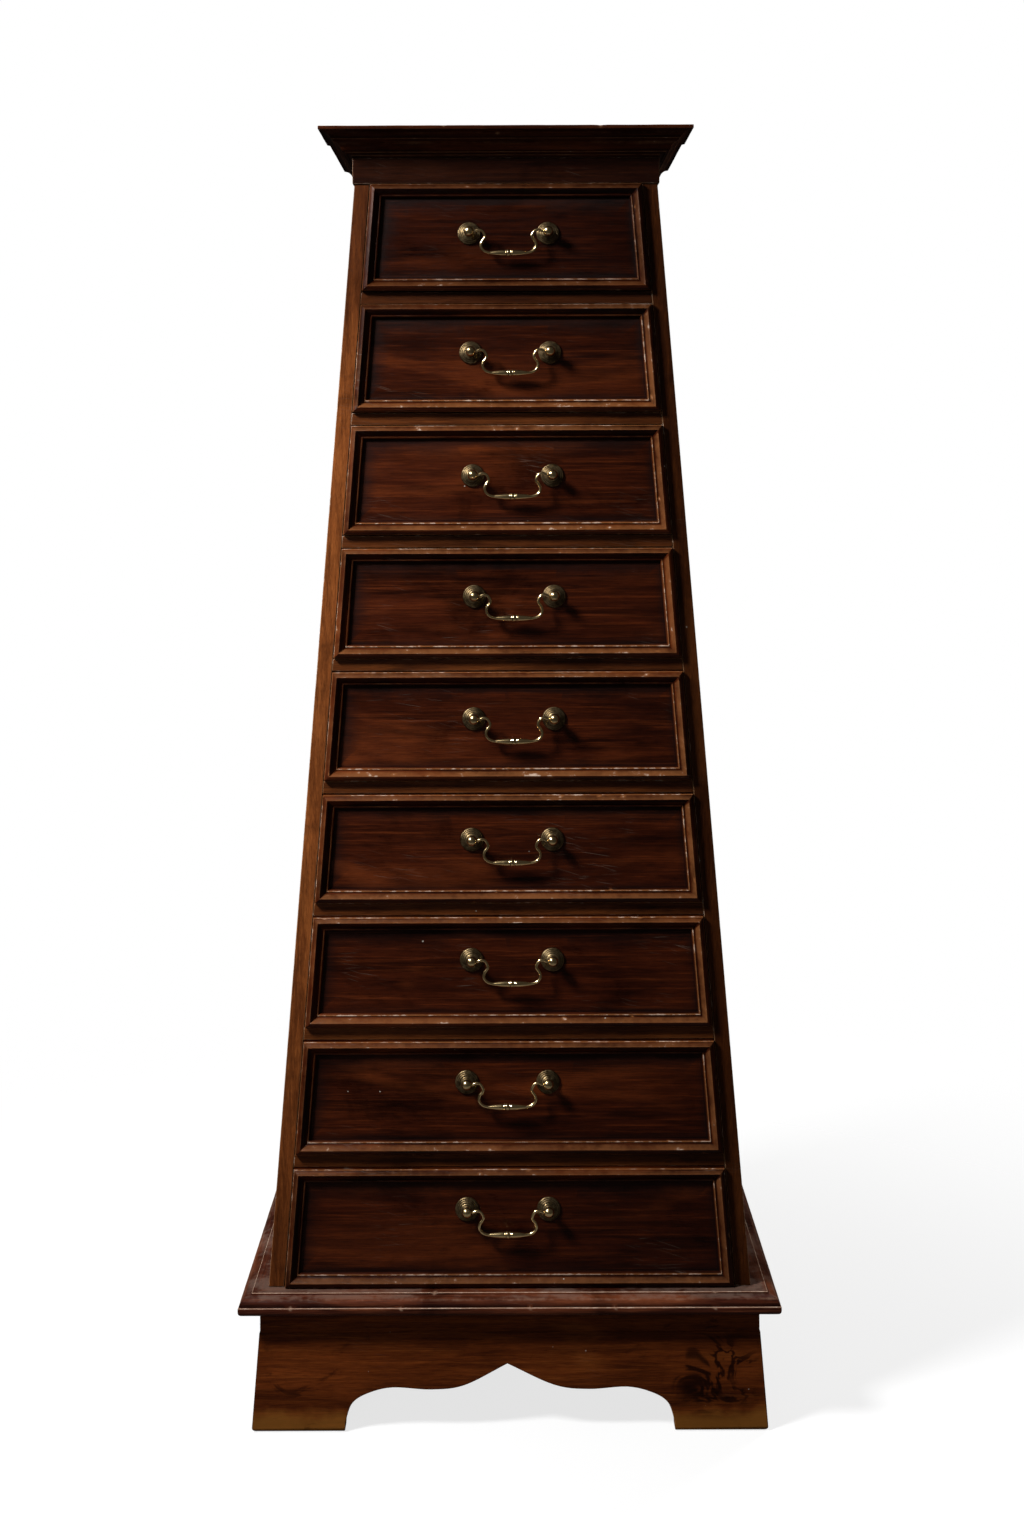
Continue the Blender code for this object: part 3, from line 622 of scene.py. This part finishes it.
# posts: (radius, height off the panel, wear) in mm, from the ball down to the rosette's rim
handlePost = {
    "reach": 15.0, "ball": 5.8, "ballTurns": 15, "ballStep": 9, "gloss": 0.85, "segments": 40, "cuts": 3,
    "turning": [
        [(3.1, 9.6, -0.5), (2.9, 8.6, -0.7), (3.4, 7.2, -0.5), (4.8, 6.2, 0.1), (6.6, 5.5, 0.5)],
        [(6.6, 5.5, 0.5), (6.9, 4.8, -0.45)],
        [(6.9, 4.8, -0.45), (7.3, 4.7, -0.35)],
        [(7.3, 4.7, -0.35), (7.6, 4.8, 0.1), (8.4, 4.5, 0.0), (9.0, 4.1, 0.05)],
        [(9.0, 4.1, 0.05), (9.2, 3.6, -0.45)],
        [(9.2, 3.6, -0.45), (9.6, 3.5, -0.35)],
        [(9.6, 3.5, -0.35), (9.9, 3.6, 0.1), (10.7, 3.2, 0.05)],
        [(10.7, 3.2, 0.05), (10.9, 2.6, -0.45)],
        [(10.9, 2.6, -0.45), (11.4, 2.5, -0.35)],
        [(11.4, 2.5, -0.35), (11.7, 2.6, 0.15), (12.4, 2.2, 0.3), (13.0, 1.2, 0.15), (12.9, 0.3, -0.4)],
        [(12.9, 0.3, -0.4), (2.0, 0.3, -1.0)],
    ],
    "shank": 2.0, "nut": 4.3, "nutDeep": 3.2, "nutSides": 6, "stub": 2.0, "stubSides": 12, "gap": 0.3,
    "arris": 0.3 * mm, "weld": 0.002 * mm, "sharp": 50,
}


def buildPostShape():
    post = handlePost
    angles = [math.radians(90 - post["ballStep"] * i) for i in range(post["ballTurns"])]
    size, gloss = post["ball"], post["gloss"]
    ball = [(size * math.cos(a), post["reach"] + size * math.sin(a), gloss) for a in angles]
    ball[0] = (0.0, post["reach"] + size, gloss)
    behind = -(drawerFront["thickness"] / mm * math.cos(leanBack) + post["gap"])
    line = [Vector(p) for p in ball] + smoothStrokes(post["turning"], post["cuts"])
    line.append(Vector((post["shank"], behind, -1.0)))
    line.append(Vector((0.0, behind, -1.0)))
    bm = bmesh.new()
    wear = bm.verts.layers.float.new("wear")
    chain = []
    for radius, height, rub in line:
        vert = bm.verts.new((radius * mm, 0, height * mm))
        vert[wear] = rub
        chain.append(vert)
    edges = [bm.edges.new(pair) for pair in zip(chain, chain[1:])]
    bmesh.ops.spin(bm, geom=chain + edges, cent=(0, 0, 0), axis=(0, 0, 1), angle=2 * math.pi,
                   steps=post["segments"], use_merge=True)
    nut = (post["nutSides"], post["nut"], post["nutDeep"], behind)
    stub = (post["stubSides"], post["shank"], post["stub"], behind - post["nutDeep"])
    for sides, radius, deep, start in (nut, stub):
        spot = Matrix.Translation((0, 0, (start - deep / 2) * mm))
        made = bmesh.ops.create_cone(bm, cap_ends=True, segments=sides, radius1=radius * mm,
                                     radius2=radius * mm, depth=deep * mm, matrix=spot)
        rim = list({edge for vert in made["verts"] for edge in vert.link_edges})
        bmesh.ops.bevel(bm, geom=rim, offset=post["arris"], offset_type="OFFSET", segments=2, profile=0.5,
                        affect="EDGES", material=-1)
    bmesh.ops.remove_doubles(bm, verts=bm.verts, dist=post["weld"])
    bmesh.ops.recalc_face_normals(bm, faces=bm.faces)
    shape = bpy.data.meshes.new("postShape")
    bm.to_mesh(shape)
    bm.free()
    return shape


# bails: the neck is (mm inward from the post, mm up from the hinge);
# the grip's turning and beads are (share of its half, share of its swelling)
handleBail = {
    "wire": 1.65, "grip": 3.8, "sides": 16, "cuts": 5, "drop": 24.4,
    "neck": [(1.6, 0.0), (4.2, 0.0), (6.8, 0.0), (9.6, 1.25), (12.1, 1.5), (14.9, 0.4), (17.0, -2.4),
             (18.1, -6.0), (16.8, -8.8), (14.8, -11.3), (13.5, -14.8), (14.0, -18.4), (16.3, -21.5),
             (19.5, -23.3), (23.0, -24.2)],
    "turning": [(0.93, 0.06), (0.80, 0.28), (0.62, 0.56), (0.42, 0.80), (0.26, 0.92), (0.20, 0.93)],
    "beads": [(0.185, 0.82), (0.165, 0.82), (0.15, 0.95), (0.12, 0.95), (0.105, 0.80), (0.085, 0.80),
              (0.07, 1.0), (0.035, 1.06), (0.0, 1.06)],
    "beadSpan": 0.22, "grooveBelow": 0.8, "grooveWear": -0.1, "rubbed": 1.1, "sharp": 60,
}


def buildBailShape(spacing):
    bail = handleBail
    half = spacing / mm / 2
    swell = bail["grip"] - bail["wire"]
    gripEnd = bail["neck"][-1][0] - half

    def alongGrip(shares):
        return [Vector((gripEnd * share, -bail["drop"], bail["wire"] + swell * part))
                for share, part in shares]

    neck = [(run - half, rise, bail["wire"]) for run, rise in bail["neck"]]
    line = smoothStrokes([neck + alongGrip(bail["turning"])], bail["cuts"]) + alongGrip(bail["beads"])
    line += [Vector((-p.x, p.y, p.z)) for p in reversed(line[:-1])]
    frames = []
    for i, point in enumerate(line):
        ahead = line[min(i + 1, len(line) - 1)] - line[max(i - 1, 0)]
        turn = Matrix.Rotation(math.atan2(ahead.x, ahead.y), 4, "Y")
        spot = Matrix.Translation((point.x * mm, 0, point.y * mm))
        frames.append(spot @ turn @ Matrix.Scale(point.z * mm, 4))
    bm = bmesh.new()
    wear = bm.verts.layers.float.new("wear")
    bmesh.ops.create_circle(bm, cap_ends=True, segments=bail["sides"], radius=1.0, matrix=frames[0])
    end = bm.faces[:][0]
    for before, after, point in zip(frames, frames[1:], line[1:]):
        made = bmesh.ops.extrude_face_region(bm, geom=[end])["geom"]
        if before is not frames[0]:
            bm.faces.remove(end)
        end = next(g for g in made if isinstance(g, bmesh.types.BMFace))
        bmesh.ops.transform(bm, matrix=after @ before.inverted(), verts=end.verts)
        beaded = abs(point.x) < -bail["beadSpan"] * gripEnd
        groove = beaded and point.z < bail["wire"] + bail["grooveBelow"] * swell
        for vert in end.verts:
            vert[wear] = bail["grooveWear"] if groove else bail["rubbed"]
    bmesh.ops.recalc_face_normals(bm, faces=bm.faces)
    shape = bpy.data.meshes.new("bailShape")
    bm.to_mesh(shape)
    bm.free()
    return shape


def centreX(node):
    low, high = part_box(node)
    return (low.x + high.x) / 2


postShape = buildPostShape()
bailShape = buildBailShape(centreX("drawer_1_post_right") - centreX("drawer_1_post_left"))


def placeCopy(shape, matrix):
    bm = bmesh.new()
    bm.from_mesh(shape)
    bmesh.ops.transform(bm, matrix=matrix, verts=bm.verts)
    return bm


def buildHandle(number):
    name = "drawer_{}".format(number)
    bailBody = "bail_{}".format(number)
    hinge = hinges[bailBody]
    outward = Vector((0, -math.cos(leanBack), math.sin(leanBack)))
    foot = hinge - handlePost["reach"] * mm * outward
    for side, turn in (("left", 0), ("right", math.pi)):
        node = "{}_post_{}".format(name, side)
        spot = Matrix.Translation((centreX(node), foot.y, foot.z))
        facing = Matrix.Rotation(math.pi / 2 - leanBack, 4, "X") @ Matrix.Rotation(turn, 4, "Z")
        bm = placeCopy(postShape, spot @ facing)
        addPiece(bm, "handlePost{}{}".format(side.capitalize(), number), name, "agedBrass", node,
                 handlePost["sharp"])
    bm = placeCopy(bailShape, Matrix.Translation(hinge))
    addPiece(bm, "handleBail{}".format(number), bailBody, "agedBrass", name + "_bail",
             handleBail["sharp"])


for number in range(1, drawerCount + 1):
    buildDrawerFront(number)
    buildDrawerBox(number)
    buildHandle(number)
print("drawers built:", drawerCount)


# slabs moulded on three edges: shaped on four at twice their depth, then halved at the back;
# strokes are (inward, outward, wear) in mm on the moulded face, rounding is the same on the other
slabs = {"backWeld": 0.3 * mm, "returnWidth": 40 * mm, "sharp": 40}
baseBoard = {
    "cuts": 3, "finish": "baseWood",
    "strokes": [
        # the wear of 1.15 on the nosing's arris and on the inner fillet paints thin glint lines, and the wear
        # on the ogee's crown paints part of its highlight
        [(0.0, 0.0, 0.1), (0.25, 0.8, 1.15), (0.9, 1.2, 0.4)],
        [(0.9, 1.2, -0.4), (1.6, 1.25, -1.0)],
        [(1.6, 1.25, -1.0), (1.5, 2.8, -0.8), (1.9, 4.8, -0.45), (3.0, 6.9, 0.2), (4.9, 8.6, 0.4),
         (7.4, 9.6, 0.1), (10.4, 10.3, 0.1), (13.2, 10.7, -0.4)],
        [(13.2, 10.7, -0.4), (13.4, 12.1, 0.5)],
        [(13.4, 12.1, 0.5), (13.55, 12.5, 1.15), (13.9, 12.7, 0.9)],
        [(13.9, 12.7, 0.9), (14.6, 12.7, 0.0)],
        [(14.6, 12.7, 0.0), (28.0, 12.7, -0.3)],
    ],
    "rounding": [[(0.0, 0.0, 0.1), (0.5, 1.9, 0.2), (1.7, 3.6, 0.1), (3.6, 4.7, -0.2), (6.0, 5.0, -0.4)]],
    "knocks": 16, "wander": 0.15 * mm, "reach": 6 * mm, "spacing": 4 * mm,
}
corniceBoard = {
    "cuts": 3, "finish": "crownWood",
    "strokes": [
        # the wear on the step edges paints thin highlight lines as well as rub, and the negative wear in the
        # quirks darkens them
        [(0.0, 0.0, 0.1), (0.35, 0.45, 0.6), (1.2, 0.6, -0.3)],
        [(1.2, 0.6, -0.7), (6.2, 1.6, 0.1), (10.4, 4.2, 0.3), (13.4, 7.6, -0.8)],
        [(13.4, 7.6, -0.8), (13.9, 9.1, 0.7), (15.0, 9.2, 0.2)],
        [(15.0, 9.2, -0.7), (16.6, 11.4, 0.2), (19.6, 12.8, 0.4), (22.6, 15.4, 0.2), (24.2, 18.8, -0.3),
         (25.2, 21.0, -1.0)],
        [(25.2, 21.0, -1.0), (28.6, 21.8, 0.5)],
        [(28.6, 21.8, 0.7), (29.0, 22.2, 0.6), (29.2, 23.8, -1.0)],
        [(29.2, 23.8, -1.0), (35.0, 24.4, 0.6)],
        [(35.0, 24.4, 0.7), (35.3, 24.8, 0.5), (35.8, 27.4, -0.8)],
    ],
    "rounding": [[(0.0, 0.0, 0.1), (0.5, 0.5, 0.9), (1.6, 0.6, 0.3)]],
    "returnStep": {"run": 122 * mm, "inward": 3 * mm, "blend": 15 * mm},
    "knocks": 14, "wander": 0.15 * mm, "reach": 6 * mm, "spacing": 4 * mm,
}


def wholeMesh(bm):
    return bm.verts[:] + bm.edges[:] + bm.faces[:]


# cuts along a plane, drops what lies past it and closes the cut
def cutAway(bm, spot, facing, weld=0.0):
    cut = bmesh.ops.bisect_plane(bm, geom=wholeMesh(bm), dist=weld, plane_co=spot, plane_no=facing,
                                 clear_outer=True)
    rim = [g for g in cut["geom_cut"] if isinstance(g, bmesh.types.BMEdge)]
    bmesh.ops.contextual_create(bm, geom=rim)


def buildSlab(node, name, board, faceUp, seed):
    low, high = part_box(node)
    rise = board["strokes"][-1][-1][1] * mm
    eased = board["rounding"][-1][-1][1] * mm
    top, foot = (high.z - rise, low.z + eased) if faceUp else (high.z - eased, low.z + rise)
    deep = backY - low.y
    bm = bmesh.new()
    wear = bm.verts.layers.float.new("wear")
    size = Matrix.Diagonal((2 * high.x, 2 * deep, top - foot, 1))
    bmesh.ops.create_cube(bm, size=1.0, matrix=Matrix.Translation((0, backY, (top + foot) / 2)) @ size)
    ends = sorted(bm.faces, key=lambda f: f.calc_center_median().z, reverse=faceUp)
    for vert in bm.verts:
        vert[wear] = board["rounding"][0][0][2]
    insetProfile(bm, ends[0], smoothStrokes(board["strokes"], board["cuts"]), wear)
    insetProfile(bm, ends[-1], smoothStrokes(board["rounding"], board["cuts"]), wear)
    splitRails(bm, board["spacing"], [ends[0], ends[-1]])
    step = board.get("returnStep")
    for vert in bm.verts:  # the cornice's side returns set in a little behind their front length
        inward = high.x - abs(vert.co.x)
        if step and vert.co.y > low.y + step["run"] and inward < step["blend"]:
            inward = step["inward"] + inward * (1 - step["inward"] / step["blend"])
            vert.co.x = math.copysign(high.x - inward, vert.co.x)
    bmesh.ops.recalc_face_normals(bm, faces=bm.faces)
    bm.normal_update()
    ageRails(bm, seed, board["knocks"], board["wander"], board["reach"])
    cutAway(bm, (0, backY, 0), (0, 1, 0), slabs["backWeld"])
    bmesh.ops.recalc_face_normals(bm, faces=bm.faces)

    def run(face):
        spot = face.calc_center_median()
        side = high.x - abs(spot.x)
        if side < spot.y - low.y and side < slabs["returnWidth"]:
            return 1, "left" if spot.x < 0 else "right"
        return 0, "front"

    layGrain(bm, run, seed)
    addPiece(bm, name, "case", board["finish"], node, slabs["sharp"])


buildSlab("base_board", "baseBoard", baseBoard, faceUp=True, seed=21)
buildSlab("cornice", "corniceBoard", corniceBoard, faceUp=False, seed=22)
print("base and cornice moulded")


# plinth: a plain band over a skirt that flares to the floor;
# its front and sides are mitred, and the back is a plain board between the sides
plinth = {
    "board": 20 * mm, "band": 25 * mm, "step": 0.8 * mm, "foot": 101 * mm, "joint": 0.12 * mm,
    "peak": 71.0, "hump": 46.3, "trough": 44.0, "curve": 24.0, "cuts": 6, "lean": -2.7 * mm, "near": 60 * mm,
    "spare": 30 * mm, "sole": 4.2 * mm, "soleCuts": 4, "soleWeld": 0.01 * mm, "arris": 0.9 * mm, "crisp": 32,
    "endGap": 1 * mm, "soleGap": 0.1 * mm, "stepShade": 3 * mm, "rub": 0.75, "dull": -0.2,
    "finish": "plinthWood",
}
plinthLow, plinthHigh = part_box("plinth")


# half the arch in metres, from the foot's inner corner up to the peak
def archLine(halfSpan):
    span = halfSpan / mm
    trough, curve = plinth["trough"], plinth["curve"]
    rise = plinth["peak"] - trough
    ankle = (span - 0.02 * curve, 0.16 * trough)
    right = [ankle, (span - 0.06 * curve, 0.3 * trough), (span - 0.33 * curve, 0.68 * trough),
             (span - curve, 0.91 * trough), (0.823 * (span - curve), plinth["hump"]), (0.475 * span, trough),
             (0.27 * span, trough + 0.17 * rise), (0.0, plinth["peak"])]
    return [p * mm for p in smoothStrokes([[(span, 0.0), ankle], right], plinth["cuts"])]


def buildPlinthBoard(name, length, arch, turn, mitres, node=None):
    top = plinthHigh.z
    bandLow = top - plinth["band"]
    reach = length / 2 + (plinth["spare"] if mitres else -plinth["joint"])
    bm = bmesh.new()
    wear = bm.verts.layers.float.new("wear")
    outline = [(reach, 0.0), (reach, top), (-reach, top), (-reach, 0.0)]
    outline += [(-p.x, p.y) for p in arch] + [(p.x, p.y) for p in reversed(arch[:-1])]
    if mitres:  # the arch was cut a little off its middle
        outline = [(x + plinth["lean"] * max(0.0, 1 - abs(x) / plinth["near"]), z) for x, z in outline]
    face = bm.faces.new([bm.verts.new((x, 0, z)) for x, z in outline])
    made = bmesh.ops.extrude_face_region(bm, geom=[face])["geom"]
    inside = [g for g in made if isinstance(g, bmesh.types.BMVert)]
    bmesh.ops.translate(bm, vec=(0, plinth["board"], 0), verts=inside)
    for level in (bandLow, bandLow + plinth["step"]):
        bmesh.ops.bisect_plane(bm, geom=wholeMesh(bm), plane_co=(0, 0, level), plane_no=(0, 0, 1))
    for vert in bm.verts:
        if vert.co.z < bandLow + plinth["step"] / 2:
            spread = taper * (bandLow - vert.co.z)
            if mitres:
                vert.co.y -= spread + (plinth["step"] if vert.co.y < plinth["board"] / 2 else 0.0)
            elif abs(vert.co.x) > reach - plinth["endGap"]:
                vert.co.x += math.copysign(spread, vert.co.x)
    for side, slope in mitres:
        corner = (side * (length / 2 - plinth["joint"] * slope), 0, 0)
        cutAway(bm, corner, (side, slope, 0))
    bmesh.ops.recalc_face_normals(bm, faces=bm.faces)
    soles = []
    for edge in bm.edges:
        flat = all(vert.co.z < plinth["soleGap"] for vert in edge.verts)
        outer = all(vert.co.y < plinth["board"] / 2 for vert in edge.verts)
        if flat and outer and edge.is_manifold:
            soles.append(edge)
    rubEdges(bm, soles, plinth["sole"], plinth["soleCuts"])
    bmesh.ops.remove_doubles(bm, verts=bm.verts, dist=plinth["soleWeld"])
    rubEdges(bm, crispEdges(bm, plinth["crisp"]), plinth["arris"])
    for vert in bm.verts:  # nothing rubs the soles or the step under the band
        vert[wear] = min(vert[wear], plinth["rub"])
        if vert.co.z < plinth["sole"] or abs(vert.co.z - bandLow) < plinth["stepShade"]:
            vert[wear] = min(vert[wear], plinth["dull"])
    layGrain(bm, alongX, len(name) + int(10 * length))
    bmesh.ops.transform(bm, matrix=turn, verts=bm.verts)
    addPiece(bm, name, "case", plinth["finish"], node)


flare = plinth["step"] + taper * (plinthHigh.z - plinth["band"])
bandHalf = plinthHigh.x - flare
bandFront = plinthLow.y + flare
bandDeep = backY - bandFront
footX = plinthHigh.x - plinth["foot"]
notchZ = plinth["trough"] * mm
frontArch = archLine(footX)
sideArch = archLine((backY - plinthLow.y) / 2 - plinth["foot"])
notch = [Vector((footX, 0)), Vector((footX, notchZ)), Vector((0, notchZ))]
inFront = Matrix.Translation((0, bandFront, 0))
atBack = Matrix.Translation((0, backY, 0)) @ Matrix.Rotation(math.pi, 4, "Z")
buildPlinthBoard("plinthFront", 2 * bandHalf, frontArch, inFront, ((-1, 1), (1, 1)), "plinth")
buildPlinthBoard("plinthBack", 2 * (bandHalf - plinth["board"]), notch, atBack, ())
for name, side in (("plinthLeft", -1), ("plinthRight", 1)):
    place = Matrix.Translation((side * bandHalf, bandFront + bandDeep / 2, 0))
    buildPlinthBoard(name, bandDeep, sideArch, place @ Matrix.Rotation(side * math.pi / 2, 4, "Z"),
                     ((-side, 1), (side, 0)))
print("plinth joined")


# floor, light and camera
studio = {
    "floor": rgb(0.24, 0.24, 0.24), "glow": rgb(0.76, 0.76, 0.76), "bounce": rgb(0.14, 0.135, 0.13),
    "floorHalf": 7.0, "floorDrop": 0.4 * mm, "floorFade": (0.45, 1.6), "whiteBehind": (0.80, 1.60),
    "ambient": rgb(0.075, 0.073, 0.070), "dusk": rgb(0.036, 0.034, 0.031),
    "night": rgb(0.012, 0.011, 0.010), "window": rgb(0.62, 0.60, 0.56),
    "nightSpan": (-0.10, 0.35), "sweepBack": (0.0, 0.3), "sweepUp": (0.50, 0.80),
    "paneAcross": (-0.25, -0.45), "paneUp": (0.30, 0.42), "paneAhead": (0.10, -0.10), "aim": (0, -0.1, 0.72),
    "lamps": {
        "keyLamp": {"place": (-1.72, -1.28, 2.55), "size": 0.6, "watts": 128, "mirrored": True},
        "fillLamp": {"place": (-0.6, -3.2, 1.0), "size": 1.8, "watts": 7, "mirrored": False},
        "backLamp": {"place": (1.9, 2.6, 1.7), "size": 1.2, "watts": 90, "mirrored": False},
    },
}


def rayKinds(start):
    return [start.add("LightPath", {}, {}, "Is {} Ray".format(kind))
            for kind in ("Camera", "Glossy", "Transmission")]


def buildFloor():
    bm = bmesh.new()
    bmesh.ops.create_grid(bm, x_segments=1, y_segments=1, size=studio["floorHalf"],
                          matrix=Matrix.Translation((0, 0, -studio["floorDrop"])))
    mesh = bpy.data.meshes.new("studioFloor")
    bm.to_mesh(mesh)
    bm.free()
    floor = bpy.data.objects.new("studioFloor", mesh)
    scene.collection.objects.link(floor)
    material, shader, start = startMaterial("floorPaper")
    ray, glossy, through = rayKinds(start)
    place = start.add("TexCoord", {}, {}, "Object")
    tooth = place.stretch((400, 400, 400)).noise(2, 0.5)
    behind = place.part(1).step(*studio["whiteBehind"])  # reflections find it white well behind the piece
    shown = (ray + (glossy + through) * behind).step(0.0, 1.0)
    colour = shown.over(studio["bounce"], studio["floor"])
    colour = (tooth * 0.05).shade(colour, rgb(0.9, 0.9, 0.9))
    plug(shader, Base_Color=colour, Emission_Color=shown.over(rgb(0, 0, 0), studio["glow"]))
    shader.inputs["Emission Strength"].default_value = 1.0
    shader.inputs["Roughness"].default_value = 0.9
    shader.inputs["Specular IOR Level"].default_value = 0.0
    far = place.length().step(*studio["floorFade"])
    clear = start.add("BsdfTransparent", {}, {})
    paper = Wire(material.node_tree, shader.outputs[0])
    faded = start.add("MixShader", {}, {0: far, 1: paper, 2: clear})
    sink = material.node_tree.nodes["Material Output"]
    material.node_tree.links.new(faded.socket, sink.inputs["Surface"])
    mesh.materials.append(material)


def buildWorld():
    world = bpy.data.worlds.new("studioWorld")
    scene.world = world
    world.use_nodes = True
    tree = world.node_tree
    start = Wire(tree)
    ray, glossy, through = rayKinds(start)
    heading = start.add("TexCoord", {}, {}, "Generated")
    across, ahead, up = [heading.part(axis) for axis in range(3)]
    mirrored = (glossy + through).step(0.0, 1.0)
    room = ahead.step(*studio["nightSpan"]).over(studio["dusk"], studio["night"])  # unlit behind the piece
    pane = across.step(*studio["paneAcross"]) * up.step(*studio["paneUp"]) * ahead.step(*studio["paneAhead"])
    room = pane.over(room, studio["window"])
    dim = mirrored.over(studio["ambient"], room)
    sweep = ahead.step(*studio["sweepBack"]) * up.step(*studio["sweepUp"])  # the lit sweep, behind and above
    white = (ray + mirrored * sweep).step(0.0, 1.0)
    shown = white.over(dim, rgb(1, 1, 1))
    backdrop = tree.nodes["Background"]
    tree.links.new(shown.socket, backdrop.inputs["Color"])
    backdrop.inputs["Strength"].default_value = 1.0


def addLamp(name, setting):
    lamp = bpy.data.lights.new(name, "AREA")
    lamp.shape = "DISK"
    lamp.size = setting["size"]
    lamp.energy = setting["watts"]
    item = bpy.data.objects.new(name, lamp)
    item.location = setting["place"]
    towards = Vector(studio["aim"]) - Vector(setting["place"])
    item.rotation_euler = towards.to_track_quat("-Z", "Y").to_euler()
    item.visible_glossy = setting["mirrored"]
    scene.collection.objects.link(item)


view = {
    "lens": 49.5, "sensor": 36, "place": (0.004, -2.4825, 1.0447), "shiftX": 0.0010, "shiftY": -0.1972,
    "roll": 0.2,
}


def addCamera():
    lens = bpy.data.cameras.new("viewLens")
    lens.lens = view["lens"]
    lens.sensor_width = view["sensor"]
    lens.shift_x = view["shiftX"]
    lens.shift_y = view["shiftY"]
    camera = bpy.data.objects.new("viewCamera", lens)
    camera.location = view["place"]
    camera.rotation_euler = (math.pi / 2, math.radians(view["roll"]), 0)
    scene.collection.objects.link(camera)
    scene.camera = camera


buildFloor()
buildWorld()
for name, setting in studio["lamps"].items():
    addLamp(name, setting)
addCamera()
scene.view_settings.view_transform = "Standard"
print("studio set")
